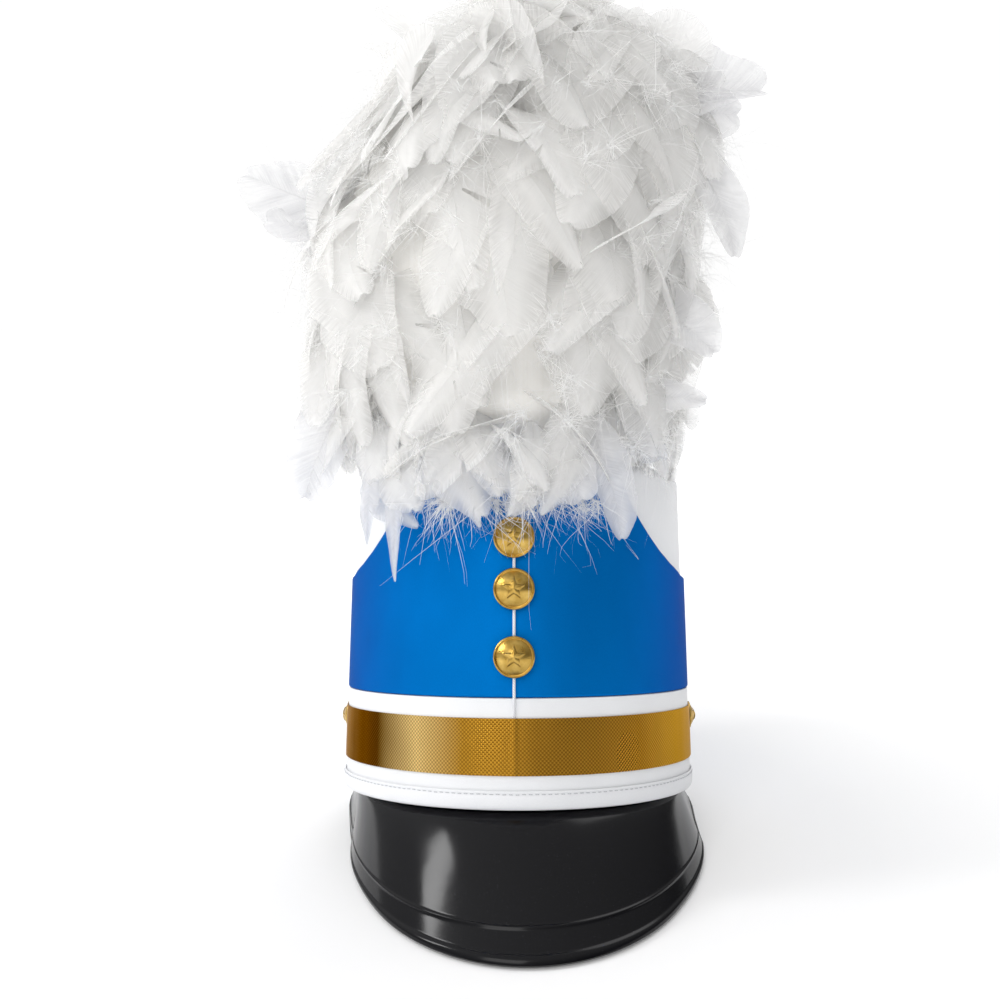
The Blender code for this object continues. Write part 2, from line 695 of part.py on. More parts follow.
def button_cord(parent):
    """A round cord down the front, through the buttons' eyes, ending on the gold band's edge."""
    end_height = GOLD_BAND_FOOT + GOLD_BAND_WIDTH + GAP + CORD_RADIUS
    band_out = GAP + BASE_BAND_THICKNESS + GAP + CORD_RADIUS
    low_button = min(FRONT_BUTTON_HEIGHTS) - 2 * EYE_HALF_HEIGHT
    heights = np.linspace(CORD_TOP_HEIGHT, low_button, CORD_STATIONS).tolist()
    route = [(cord_out(), height) for height in heights]
    middle = (low_button + end_height) / 2
    route.append(((cord_out() + band_out) / 2 + 2 * CORD_RADIUS, middle))
    route.append((band_out + 2 * CORD_RADIUS, end_height + 2 * CORD_RADIUS))
    route.append((band_out, end_height))
    curve = bpy.data.curves.new("button_cord", "CURVE")
    curve.dimensions = "3D"
    curve.bevel_depth = CORD_RADIUS
    curve.bevel_resolution = 2
    curve.use_fill_caps = True
    spline = curve.splines.new("POLY")
    spline.points.add(len(route) - 1)
    for point, (out, height) in zip(spline.points, route):
        point.co = (0.0, -(half_depth(height) + out), height, 1.0)
    curve.materials.append(WHITE_CLOTH)
    made = bpy.data.objects.new("button_cord", curve)
    bpy.context.scene.collection.objects.link(made)
    made.parent = parent
    return made


def plume_base():
    """Height of the plume's underside."""
    return CROWN_HEIGHT + GAP


def core_point(turn, share):
    """A point on the plume's core, at a turn from the front and a share of the plume's height."""
    heights = [row["height"] for row in PLUME_SECTIONS]
    width = np.interp(share, heights, [row["width"] for row in PLUME_SECTIONS]) * PLUME_HALF_WIDTH
    depth = np.interp(share, heights, [row["depth"] for row in PLUME_SECTIONS]) * PLUME_HALF_DEPTH
    aside = np.interp(share, heights, [row["aside"] for row in PLUME_SECTIONS]) * PLUME_HALF_WIDTH
    return np.array(
        (
            aside + width * math.sin(turn),
            -PLUME_FORWARD - depth * math.cos(turn),
            plume_base() + share * PLUME_HEIGHT,
        )
    )


def clear_of_crown(point, room):
    """Move a point off the crown, out past its side or up onto its top, whichever it lies nearer.

    The crown's section is taken as a rounded corner: p runs out from the corner's centre and q up
    from it. In front the side stands out as far as the buttons, elsewhere as far as the panel.
    """
    x, y, z = point
    level = min(z, CROWN_HEIGHT)
    reach = math.hypot(x / half_width(level), y / half_depth(level))
    radius = math.hypot(x, y) / reach
    turn = abs(math.atan2(x, -y))
    front = min(max(BUTTON_CLEAR_FADE - turn / math.radians(BUTTON_CLEAR_DEG), 0.0), 1.0)
    buttons = standoff() + FRONT_BUTTON_DOME
    side = panel_outside() + front * buttons
    p = (reach - 1.0) * radius - side + ROLL_RADIUS
    q = z - CROWN_HEIGHT + ROLL_RADIUS
    need = ROLL_RADIUS + room
    if q <= 0.0 and p > -2 * ROLL_RADIUS:
        p = max(p, need)
    elif p <= 0.0:
        q = max(q, need)
    else:
        short = need / math.hypot(p, q)
        if short > 1.0:
            p = p * short
            q = q * short
    share = (1.0 + (p + side - ROLL_RADIUS) / radius) / reach
    return np.array((x * share, y * share, q + CROWN_HEIGHT - ROLL_RADIUS))


def lock(root, middle, tip, half_wide, half_thick, layer):
    """One lock of feather: points and faces of a closed leaf along a bent spine.

    The spine is a square curve through root, middle and tip. The leaf's half width and half
    thickness follow half a sine wave that is fuller near the tip. Its layer says how many others
    it lies on.
    """
    room = LOCK_CLEARANCE + layer * LOCK_LAYER
    t = (np.arange(LOCK_STATIONS) + 1.0) / (LOCK_STATIONS + 1.0)
    t = t[:, None]
    spine = (1 - t) ** 2 * root + 2 * t * (1 - t) * middle + t**2 * tip
    spine = np.array([clear_of_crown(p, half_thick + room) for p in spine])
    tip = clear_of_crown(tip, half_thick + room)
    axis = tip - root
    outward = spine.mean(axis=0) - np.array((0.0, -PLUME_FORWARD, spine[:, 2].mean()))
    across = np.cross(axis, outward)
    across /= np.linalg.norm(across)
    normal = np.cross(across, axis)
    normal /= np.linalg.norm(normal)
    swell = np.sin(math.pi * (LEAF_START + LEAF_SPAN * t) ** LEAF_POWER)
    swell = np.clip(swell, LEAF_LEAST, 1.0)
    points = [root]
    for centre, share in zip(spine, swell[:, 0]):
        wide = across * half_wide * share
        thick = normal * half_thick * share
        rim = (centre + wide, centre + thick, centre - wide, centre - thick)
        points += [clear_of_crown(p, room) for p in rim]
    points.append(tip)
    last = len(points) - 1
    faces = []
    for j in range(4):
        k = (j + 1) % 4
        faces.append((0, 1 + k, 1 + j))
        for i in range(LOCK_STATIONS - 1):
            a = 1 + 4 * i
            faces.append((a + j, a + k, a + 4 + k, a + 4 + j))
        a = 1 + 4 * (LOCK_STATIONS - 1)
        faces.append((a + j, a + k, last))
    return points, faces


def over_crown(point):
    """Whether a point stands over the crown's top, seen from above."""
    return math.hypot(point[0] / TOP_HALF_WIDTH, point[1] / TOP_HALF_DEPTH) < 1.0


def ring_locks():
    """Drooping locks in rings round the core; those over the crown's top end on it."""
    made = []
    for row in LOCK_RINGS:
        step = 2 * math.pi / row["count"]
        droop = math.radians(row["droop"])
        for i in range(row["count"]):
            turn = (i + row["turn"]) * step
            wave = 1 + LOCK_VARIATION * math.sin(2.4 * i + 9.0 * row["height"])
            length = LOCK_LENGTH * row["length"] * wave
            start = core_point(turn, row["height"])
            centre = core_point(0.0, row["height"])
            centre[1] = -PLUME_FORWARD
            root = centre + (start - centre) * LOCK_ROOT
            outward = np.array((math.sin(turn), -math.cos(turn), 0.0))
            drop = length * math.sin(droop)
            if over_crown(start):
                rest = plume_base() + 2 * LOCK_HALF_THICKNESS + i % 4 * LOCK_LAYER
                drop = min(drop, start[2] - rest)
            tip = start + outward * math.sqrt(length**2 - drop**2) * LOCK_SPREAD
            tip[2] -= drop
            middle = start + outward * length * LOCK_BULGE
            middle[2] -= drop * LOCK_SAG
            made.append((root, middle, tip, LOCK_HALF_WIDTH * wave, LOCK_HALF_THICKNESS, i % 3))
    return made


def single_feathers():
    """The feathers that the table names."""
    made = []
    size = np.array((PLUME_HALF_WIDTH, PLUME_HALF_DEPTH, PLUME_HEIGHT))
    foot = np.array((0.0, -PLUME_FORWARD, plume_base()))
    for layer, row in enumerate(FEATHERS):
        root = foot + np.array(row["root"]) * size
        tip = foot + np.array(row["tip"]) * size
        bow = row["bow"] * LOCK_LENGTH
        middle = (root + tip) / 2 + np.array((0.0, 0.0, bow))
        out = middle - foot
        out[2] = 0.0
        middle = middle + out / np.linalg.norm(out) * abs(bow)
        half_wide = row["wide"] * LOCK_HALF_WIDTH
        made.append((root, middle, tip, half_wide, FEATHER_HALF_THICKNESS, layer % 4 + 0.5))
    return made


def plume(parent):
    """The core is skinned through its sections; post and locks are united with it."""
    turns = ring_turns(CORE_SIDES)
    sections = [[core_point(turn, row["height"]) for turn in turns] for row in PLUME_SECTIONS]
    points = [p for ring in sections for p in ring]
    faces = [tuple(range(CORE_SIDES))]
    for i in range(len(sections) - 1):
        low = i * CORE_SIDES
        high = low + CORE_SIDES
        for j in range(CORE_SIDES):
            k = (j + 1) % CORE_SIDES
            faces.append((low + j, low + k, high + k, high + j))
    peak = core_point(0.0, 1.0)
    peak[1] = -PLUME_FORWARD
    points.append(peak)
    base = (len(sections) - 1) * CORE_SIDES
    for j in range(CORE_SIDES):
        faces.append((base + j, base + (j + 1) % CORE_SIDES, len(points) - 1))
    core = add_object("plume", solid_mesh("plume", points, faces), FEATHER, parent)
    lock_points = []
    lock_faces = []
    for row in ring_locks() + single_feathers():
        leaf_points, leaf_faces = lock(*row)
        start = len(lock_points)
        lock_points += leaf_points
        lock_faces += [tuple(start + v for v in face) for face in leaf_faces]
    post_low = CROWN_HEIGHT - POST_LENGTH
    post_high = plume_base() + POST_SUNK * PLUME_HEIGHT
    post = turned(
        "plume_post",
        ((0.0, post_low), (POST_RADIUS, post_low), (POST_RADIUS, post_high), (0.0, post_high)),
        POST_SIDES,
    )
    post_guide = guide("plume_post", post, parent)
    post_guide.location = (0.0, -PLUME_FORWARD, 0.0)
    locks_guide = guide("plume_locks", solid_mesh("plume_locks", lock_points, lock_faces), parent)
    for name, helper in (("locks", locks_guide), ("post", post_guide)):
        union = core.modifiers.new(name, "BOOLEAN")
        union.operation = "UNION"
        union.solver = "EXACT"
        union.use_self = name == "locks"
        union.object = helper
    return core


def stand_on_origin(empty):
    """Tip the hat back, then move it until the middle of its box's floor is the world's origin."""
    empty.rotation_euler = (-math.atan(rest_slope()), 0.0, 0.0)
    bpy.context.view_layer.update()
    depsgraph = bpy.context.evaluated_depsgraph_get()
    low = np.full(3, np.inf)
    high = np.full(3, -np.inf)
    for piece in bpy.context.scene.objects:
        if piece.type not in {"MESH", "CURVE"} or piece.hide_render:
            continue
        seen = piece.evaluated_get(depsgraph)
        mesh = seen.to_mesh()
        places = np.empty(len(mesh.vertices) * 3, dtype=np.float32)
        mesh.vertices.foreach_get("co", places)
        matrix = np.array(piece.matrix_world)
        places = places.reshape(-1, 3) @ matrix[:3, :3].T + matrix[:3, 3]
        low = np.minimum(low, places.min(axis=0))
        high = np.maximum(high, places.max(axis=0))
        seen.to_mesh_clear()
    centre = (low + high) / 2
    empty.location = Vector((-centre[0], -centre[1], -low[2]))
    bpy.context.view_layer.update()


def main():
    hat = bpy.data.objects.new("hat", None)
    bpy.context.scene.collection.objects.link(hat)
    crown_wall(hat)
    crown_top(hat)
    base_band(hat)
    rim_binding(hat)
    gold_band(hat)
    front_panel(hat)
    visor(hat)
    front_buttons(hat)
    side_buttons(hat)
    button_cord(hat)
    plume(hat)
    stand_on_origin(hat)


main()
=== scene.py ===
"""Looks of a marching band hat with a feather plume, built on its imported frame.

Every piece is worked out in the hat's own frame, in metres: the rim's centre at the origin, the crown
rising along +Z and the front facing -Y. The head opening's mount in the record says how that frame
stands in the row's frame, with the hat tipped back onto its rim and its visor's front edge.
"""

import json
import math

import bmesh
import bpy
import numpy as np
from mathutils import Matrix


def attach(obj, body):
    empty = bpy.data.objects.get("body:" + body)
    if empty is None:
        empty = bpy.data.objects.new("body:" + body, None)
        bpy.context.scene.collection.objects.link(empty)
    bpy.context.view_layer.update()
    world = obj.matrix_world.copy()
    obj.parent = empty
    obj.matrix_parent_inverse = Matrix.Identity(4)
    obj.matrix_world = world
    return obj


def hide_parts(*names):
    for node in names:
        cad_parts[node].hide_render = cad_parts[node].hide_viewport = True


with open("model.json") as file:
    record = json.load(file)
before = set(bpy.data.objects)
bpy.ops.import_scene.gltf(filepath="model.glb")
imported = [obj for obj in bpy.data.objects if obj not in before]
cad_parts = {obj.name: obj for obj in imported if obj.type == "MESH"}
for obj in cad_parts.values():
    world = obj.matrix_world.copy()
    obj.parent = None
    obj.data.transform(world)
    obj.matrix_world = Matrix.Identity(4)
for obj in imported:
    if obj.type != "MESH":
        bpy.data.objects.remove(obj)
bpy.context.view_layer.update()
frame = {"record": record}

chance = np.random.default_rng(7)

# Crown
CROWN_HEIGHT = 0.156
RIM_HALF_WIDTH = 0.0865
RIM_HALF_DEPTH = 0.098
TOP_HALF_WIDTH = 0.083
TOP_HALF_DEPTH = 0.0945
WALL = 0.002
ROLL_RADIUS = 0.005
LIP_WIDTH = 0.004
TOP_THICKNESS = 0.0018
GAP = 0.0003

# Bands, panel and cord
BASE_BAND_HEIGHT = 0.0487
BASE_BAND_THICKNESS = 0.0012
BINDING_HEIGHT = 0.0085
BINDING_THICKNESS = 0.0008
STITCH_HEIGHT = 0.0071
STITCH_PITCH = 0.0030
STITCH_LENGTH = 0.0021
STITCH_RADIUS = 0.00022
GOLD_BAND_FOOT = 0.015
GOLD_BAND_WIDTH = 0.025
GOLD_BAND_THICKNESS = 0.0004
GOLD_BAND_END_DEG = 98.0
RIBBON_LENGTH = 0.32
RIBBON_DOT_PITCH = 0.00175
PANEL_FOOT = 0.049
PANEL_SHOULDER_HEIGHT = CROWN_HEIGHT * 2 / 3
PANEL_TOP_HEIGHT = CROWN_HEIGHT - 0.006
PANEL_THICKNESS = 0.0016
PANEL_SEAM = 0.0005
CORD_RADIUS = 0.00065
CORD_TOP_HEIGHT = 0.1485
EYE_WALL = 0.0006
EYE_HALF_WIDTH = 0.0019
EYE_HALF_HEIGHT = 0.002

# Buttons
FRONT_BUTTON_RADIUS = 0.00925
FRONT_BUTTON_DOME = 0.0048
FRONT_BUTTON_HEIGHTS = tuple(CROWN_HEIGHT * share for share in (0.7692, 0.6218, 0.4295))
SIDE_BUTTON_RADIUS = 0.007
SIDE_BUTTON_DOME = 0.0034
SIDE_BUTTON_HEIGHT = 0.033
SIDE_BUTTON_DEG = 93.0

# Visor
VISOR_HALF_WIDTH = 0.0818
VISOR_CENTRE_DEPTH = 0.025
VISOR_REACH = 0.1391
VISOR_SIDEWAYS = 0.0047
VISOR_FLARE = 0.0056
VISOR_WIDEST_DEG = 84.0
VISOR_DROP = 0.0567
VISOR_THICKNESS = 0.0016
VISOR_FLANGE_HEIGHT = 0.008
VISOR_BEAD_RADIUS = 0.0015
VISOR_LINE_HEIGHT = 0.00045
VISOR_SHELF = 0.20
VISOR_END_DEG = 88.0
VISOR_SIDE_DEG = 72.0
VISOR_GAP = 0.0006

# Plume
PLUME_FORWARD = 0.066
PLUME_DEPTH_SHARE = 0.80
FEATHER_COUNT = 250
CAP_COUNT = 40
SKIRT_COUNT = 60
FEATHER_ROWS = 44
FEATHER_COLUMNS = 5

OVAL_SIDES = 256

# Room and camera, which stands in the hat's own frame
FLOOR_HALF = 30.0
CAMERA_AWAY = 0.650
CAMERA_HEIGHT = 0.089
CAMERA_SIDE_DEG = 1.0
CAMERA_HEADING_DEG = 1.83
CAMERA_PITCH_DEG = 4.95
CAMERA_LENS = 44.46

# The panel's upper edge: turn from the front in quarter turns, rise from its shoulders to its top
PANEL_EDGE = (
    {"turn": 0.000, "rise": 1.00},
    {"turn": 0.367, "rise": 1.00},
    {"turn": 0.415, "rise": 0.85},
    {"turn": 0.442, "rise": 0.70},
    {"turn": 0.480, "rise": 0.56},
    {"turn": 0.533, "rise": 0.40},
    {"turn": 0.594, "rise": 0.26},
    {"turn": 0.671, "rise": 0.14},
    {"turn": 0.800, "rise": 0.02},
    {"turn": 0.890, "rise": 0.00},
    {"turn": 2.000, "rise": 0.00},
)

# How far the mass of feathers reaches to the left and right at each height, in metres
PLUME_OUTLINE = (
    {"height": 0.128, "left": 0.084, "right": 0.064},
    {"height": 0.138, "left": 0.090, "right": 0.073},
    {"height": 0.157, "left": 0.093, "right": 0.077},
    {"height": 0.176, "left": 0.098, "right": 0.079},
    {"height": 0.194, "left": 0.099, "right": 0.078},
    {"height": 0.213, "left": 0.103, "right": 0.087},
    {"height": 0.232, "left": 0.106, "right": 0.087},
    {"height": 0.262, "left": 0.106, "right": 0.095},
    {"height": 0.285, "left": 0.104, "right": 0.098},
    {"height": 0.305, "left": 0.090, "right": 0.098},
    {"height": 0.322, "left": 0.075, "right": 0.096},
    {"height": 0.342, "left": 0.066, "right": 0.094},
    {"height": 0.351, "left": 0.061, "right": 0.084},
    {"height": 0.361, "left": 0.054, "right": 0.068},
    {"height": 0.372, "left": 0.042, "right": 0.050},
    {"height": 0.388, "left": 0.016, "right": 0.022},
)

# Feathers that stand out from the rest, root and tip in metres; wide is half the vane's width, bow is
# how far the middle stands off the straight line, and face tells where the vane looks
FEATHERS = (
    {"root": (-0.04, -0.08, 0.262), "tip": (-0.127, -0.084, 0.293),
     "wide": 0.03, "bow": (0, 0, -0.004), "face": (0.1, -1, 0.2)},
    {"root": (-0.056, -0.078, 0.256), "tip": (-0.116, -0.086, 0.27),
     "wide": 0.022, "bow": (0, 0, 0.002), "face": (0, -1, 0.3)},
    {"root": (0.034, -0.078, 0.312), "tip": (0.116, -0.084, 0.331),
     "wide": 0.03, "bow": (0, 0, 0.014), "face": (0, -1, 0.4)},
    {"root": (0.04, -0.08, 0.306), "tip": (0.104, -0.088, 0.318),
     "wide": 0.022, "bow": (0, 0, 0.01), "face": (0, -1, 0.2)},
    {"root": (0.052, -0.084, 0.325), "tip": (0.1, -0.1, 0.247),
     "wide": 0.019, "bow": (0.02, 0, 0.01), "face": (0.5, -1, 0)},
    {"root": (0.046, -0.09, 0.232), "tip": (0.09, -0.098, 0.203),
     "wide": 0.016, "bow": (0.008, 0, 0.006), "face": (0.4, -1, 0.2)},
    {"root": (0.036, -0.092, 0.185), "tip": (0.086, -0.1, 0.181),
     "wide": 0.01, "bow": (0, 0, 0.003), "face": (0.3, -1, 0.4)},
    {"root": (-0.06, -0.084, 0.208), "tip": (-0.094, -0.1, 0.138),
     "wide": 0.023, "bow": (-0.01, 0, 0.004), "face": (-0.5, -1, 0)},
    {"root": (-0.05, -0.104, 0.168), "tip": (-0.0526, -0.103, 0.1),
     "wide": 0.0058, "bow": (-0.003, -0.004, 0), "face": (-0.2, -1, 0.1)},
    {"root": (0.028, -0.108, 0.182), "tip": (0.0475, -0.106, 0.119),
     "wide": 0.0135, "bow": (0.006, -0.005, 0), "face": (0.2, -1, 0.1)},
    {"root": (-0.03, -0.112, 0.17), "tip": (-0.0146, -0.112, 0.1235),
     "wide": 0.006, "bow": (-0.002, -0.003, 0), "face": (0, -1, 0.1)},
    {"root": (-0.06, -0.104, 0.165), "tip": (-0.066, -0.098, 0.117),
     "wide": 0.007, "bow": (-0.003, -0.003, 0), "face": (-0.3, -1, 0.1)},
    {"root": (0.018, -0.112, 0.166), "tip": (0.03, -0.112, 0.136),
     "wide": 0.014, "bow": (0, -0.003, 0), "face": (0.1, -1, 0.1)},
)


# Placing and meshing

mount = frame["record"]["mounts"][0]
ORIGIN = np.array(mount["pos_m"])
UP = -np.array(mount["axis"]) / np.linalg.norm(mount["axis"])
RIGHT = np.array((1.0, 0.0, 0.0))
AXES = np.stack((RIGHT, np.cross(UP, RIGHT), UP))


def placed(points):
    """Points of the hat's own frame in the row's frame."""
    return np.asarray(points) @ AXES + ORIGIN


def together(*parts):
    """Numbers or arrays side by side along a new last axis, such as the x, y and z of points."""
    return np.stack(np.broadcast_arrays(*parts), axis=-1)


def unit(vectors):
    """Vectors made one long."""
    return vectors / np.maximum(np.linalg.norm(vectors, axis=-1, keepdims=True), 1e-12)


def smooth_step(value, low, high):
    """0 below low and 1 above high, with a soft rise between."""
    t = np.clip((value - low) / (high - low), 0.0, 1.0)
    return t * t * (3 - 2 * t)


def grid_faces(rows, columns, ring_rows=False, ring_columns=False):
    """Quads of a grid of points, and which row and column each corner has, counted past the ring's end."""
    i, j = np.meshgrid(
        np.arange(rows if ring_rows else rows - 1),
        np.arange(columns if ring_columns else columns - 1),
        indexing="ij",
    )
    corner_i = together(i, i + 1, i + 1, i).reshape(-1, 4)
    corner_j = together(j, j, j + 1, j + 1).reshape(-1, 4)
    return corner_i % rows * columns + corner_j % columns, corner_i, corner_j


def copies(faces, count, each, base=0):
    """The faces of one piece for count pieces that follow one another, each with so many points."""
    return faces[None] + np.arange(count)[:, None, None] * each + base


def add_piece(name, points, faces, uv, finish, node, closed=True, sharp=35.0):
    """A mesh piece from arrays: points in the hat's frame, faces and corner UVs as matching lists."""
    mesh = bpy.data.meshes.new(name)
    mesh.vertices.add(len(points))
    mesh.vertices.foreach_set("co", placed(points).astype(np.float32).ravel())
    corners = np.concatenate([part.ravel() for part in faces])
    sizes = np.concatenate([np.full(len(part), part.shape[1]) for part in faces])
    mesh.loops.add(len(corners))
    mesh.loops.foreach_set("vertex_index", corners.astype(np.int32))
    mesh.polygons.add(len(sizes))
    starts = np.concatenate(([0], np.cumsum(sizes)[:-1]))
    mesh.polygons.foreach_set("loop_start", starts.astype(np.int32))
    layer = mesh.uv_layers.new(name="UVMap")
    layer.uv.foreach_set("vector", np.concatenate([part.ravel() for part in uv]).astype(np.float32))
    mesh.update(calc_edges=True)
    mesh.validate()
    if closed:
        work = bmesh.new()
        work.from_mesh(mesh)
        bmesh.ops.recalc_face_normals(work, faces=work.faces)
        work.to_mesh(mesh)
        work.free()
    mesh.shade_smooth()
    if sharp:
        mesh.set_sharp_from_angle(angle=math.radians(sharp))
    mesh.materials.append(finish)
    piece = bpy.data.objects.new(name, mesh)
    bpy.context.scene.collection.objects.link(piece)
    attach(piece, "root")
    if node:
        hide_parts(node)
    return piece


def half_width(height):
    """Half the crown's width, outside the wall, at a height above the rim."""
    return RIM_HALF_WIDTH + (TOP_HALF_WIDTH - RIM_HALF_WIDTH) * height / CROWN_HEIGHT


def half_depth(height):
    """Half the crown's depth, outside the wall, at a height above the rim."""
    return RIM_HALF_DEPTH + (TOP_HALF_DEPTH - RIM_HALF_DEPTH) * height / CROWN_HEIGHT


def on_crown(turn, out, height):
    """The point at a turn from the front, at a height, standing out from the wall's outer face."""
    x = (half_width(height) + out) * np.sin(turn)
    y = -(half_depth(height) + out) * np.cos(turn)
    return together(x, y, height)


def rounded(profile, radius, steps=4):
    """A closed profile with each corner drawn as a short curve, so that its edges catch the light."""
    points = np.array(profile)
    before = np.roll(points, 1, axis=0) - points
    after = np.roll(points, -1, axis=0) - points
    t = np.linspace(0.0, 1.0, steps)[None, :, None]
    reach_a = np.minimum(radius, 0.42 * np.linalg.norm(before, axis=1, keepdims=True))
    reach_b = np.minimum(radius, 0.42 * np.linalg.norm(after, axis=1, keepdims=True))
    start = (points + unit(before) * reach_a)[:, None]
    end = (points + unit(after) * reach_b)[:, None]
    corner = points[:, None]
    curve = (1 - t) ** 2 * start + 2 * t * (1 - t) * corner + t**2 * end
    return curve.reshape(-1, 2)


def band(name, sections, ring, finish, node, sharp=60.0):
    """Closed sections, stations by points by xyz, skinned into a body; u and v are lengths in metres."""
    stations, count, _ = sections.shape
    middle = sections.mean(axis=1)
    steps = np.linalg.norm(np.roll(middle, -1, axis=0) - middle, axis=1)
    u = np.concatenate(([0.0], np.cumsum(steps)))
    edge = np.linalg.norm(np.roll(sections[0], -1, axis=0) - sections[0], axis=1)
    v = np.concatenate(([0.0], np.cumsum(edge)))
    quads, i, j = grid_faces(stations, count, ring, True)
    faces = [quads]
    uv = [together(u[i], v[j])]
    if not ring:
        for station in (0, stations - 1):
            faces.append((station * count + np.arange(count))[None])
            uv.append(sections[station][None, :, 1:])
    return add_piece(name, sections.reshape(-1, 3), faces, uv, finish, node, sharp=sharp)


def ring_turns(sides):
    """Even turns round a whole oval, starting at the back."""
    return np.arange(sides) * 2 * math.pi / sides - math.pi


def round_crown(turns, profile):
    """A profile of (out, height) pairs carried round the crown."""
    return on_crown(turns[:, None], profile[None, :, 0], profile[None, :, 1])


# Finishes


def fill(made, inputs):
    """A node's inputs, by name or number: a socket is linked to its input, anything else is set on it."""
    for key, value in inputs.items():
        if isinstance(value, bpy.types.NodeSocket):
            made.id_data.links.new(value, made.inputs[key])
        else:
            made.inputs[key].default_value = value


def node(tree, kind, inputs, **settings):
    """A shader node with its settings and inputs."""
    made = tree.nodes.new("ShaderNode" + kind)
    for key, value in settings.items():
        setattr(made, key, value)
    fill(made, inputs)
    return made


def new_finish(name):
    """An empty material: its tree, its Principled shader and its output."""
    made = bpy.data.materials.new(name)
    made.use_nodes = True
    tree = made.node_tree
    return made, tree, tree.nodes["Principled BSDF"], tree.nodes["Material Output"]


def ramp(tree, factor, stops):
    """A colour ramp through (place, colour) stops."""
    made = node(tree, "ValToRGB", {"Fac": factor})
    band_of = made.color_ramp
    while len(band_of.elements) < len(stops):
        band_of.elements.new(0.5)
    for element, (place, colour) in zip(band_of.elements, stops):
        element.position = place
        element.color = (*colour, 1.0)
    return made.outputs["Color"]


def maths(tree, operation, a, b=0.0, c=0.0):
    """One sum of up to three values."""
    return node(tree, "Math", {0: a, 1: b, 2: c}, operation=operation).outputs[0]


def stretched(tree, scale):
    """The piece's UVs, in metres, times a scale for each direction."""
    place = node(tree, "UVMap", {}, uv_map="UVMap").outputs["UV"]
    return node(tree, "VectorMath", {0: place, 1: scale}, operation="MULTIPLY").outputs[0]


def noise(tree, vector, scale, detail=3.0, roughness=0.5):
    """Soft noise, about 0 to 1."""
    values = {"Vector": vector, "Scale": scale, "Detail": detail, "Roughness": roughness}
    return node(tree, "TexNoise", values).outputs["Fac"]


def bump(tree, height, strength, distance):
    """A normal bent by a height, which counts as so many metres."""
    values = {"Height": height, "Strength": strength, "Distance": distance}
    return node(tree, "Bump", values).outputs["Normal"]


def shared_effect(name, wants, gives):
    """A shader node group: its tree, the sockets that it is given, and the node that it fills."""
    tree = bpy.data.node_groups.new(name, "ShaderNodeTree")
    for label in wants:
        tree.interface.new_socket(name=label, in_out="INPUT", socket_type="NodeSocketFloat")
    for label in gives:
        kind = "NodeSocketVector" if label == "Normal" else "NodeSocketFloat"
        tree.interface.new_socket(name=label, in_out="OUTPUT", socket_type=kind)
    return tree, tree.nodes.new("NodeGroupInput").outputs, tree.nodes.new("NodeGroupOutput")


def weave_effect():
    """Plain weave: threads along u and v in turn, with slow unevenness and a fine grain."""
    tree, given, result = shared_effect("weave", ("Pitch", "Depth"), ("Share", "Slow", "Normal"))
    place = stretched(tree, (1.0, 1.0, 0.0))
    turns = maths(tree, "DIVIDE", 2 * math.pi, given["Pitch"])
    parts = node(tree, "SeparateXYZ", {0: place})
    across = maths(tree, "SINE", maths(tree, "MULTIPLY", parts.outputs[0], turns))
    along = maths(tree, "SINE", maths(tree, "MULTIPLY", parts.outputs[1], turns))
    threads = maths(tree, "MULTIPLY_ADD", maths(tree, "MULTIPLY", across, along), 0.5, 0.5)
    slow = noise(tree, place, 28.0, 4.0)
    fine = noise(tree, place, maths(tree, "DIVIDE", 1.1, given["Pitch"]), 2.0)
    share = maths(tree, "MULTIPLY_ADD", slow, 0.7, maths(tree, "MULTIPLY", fine, 0.4))
    height = maths(tree, "ADD", threads, maths(tree, "MULTIPLY", slow, 1.5))
    fill(result, {"Share": share, "Slow": slow, "Normal": bump(tree, height, 0.6, given["Depth"])})
    return tree


def twist_effect():
    """Twisted strands: a wave that slants across the UVs."""
    tree, given, result = shared_effect("twist", ("Pitch",), ("Share", "Normal"))
    parts = node(tree, "SeparateXYZ", {0: stretched(tree, (1.0, 1.0, 0.0))})
    turns = maths(tree, "DIVIDE", 2 * math.pi, given["Pitch"])
    slanting = maths(tree, "MULTIPLY", maths(tree, "ADD", parts.outputs[0], parts.outputs[1]), turns)
    share = maths(tree, "MULTIPLY_ADD", maths(tree, "SINE", slanting), 0.5, 0.5)
    fill(result, {"Share": share, "Normal": bump(tree, share, 0.6, 0.00015)})
    return tree


def barb_effect():
    """Fine lines across u, so many to the metre, on broader bands of shade."""
    tree, given, result = shared_effect("barbs", ("Lines", "Depth"), ("Barbs", "Share", "Normal"))
    place = node(tree, "UVMap", {}, uv_map="UVMap").outputs["UV"]
    scale = node(tree, "CombineXYZ", {0: given["Lines"], 1: 0.5}).outputs[0]
    fine = node(tree, "VectorMath", {0: place, 1: scale}, operation="MULTIPLY").outputs[0]
    barbs = noise(tree, fine, 1.0, 4.0, 0.68)
    broad = noise(tree, stretched(tree, (90.0, 0.6, 0.0)), 1.0, 2.0)
    share = maths(tree, "MULTIPLY_ADD", barbs, 0.6, maths(tree, "MULTIPLY", broad, 0.4))
    fill(result, {"Barbs": barbs, "Share": share, "Normal": bump(tree, barbs, 0.6, given["Depth"])})
    return tree


WEAVE = weave_effect()
TWIST = twist_effect()
BARBS = barb_effect()


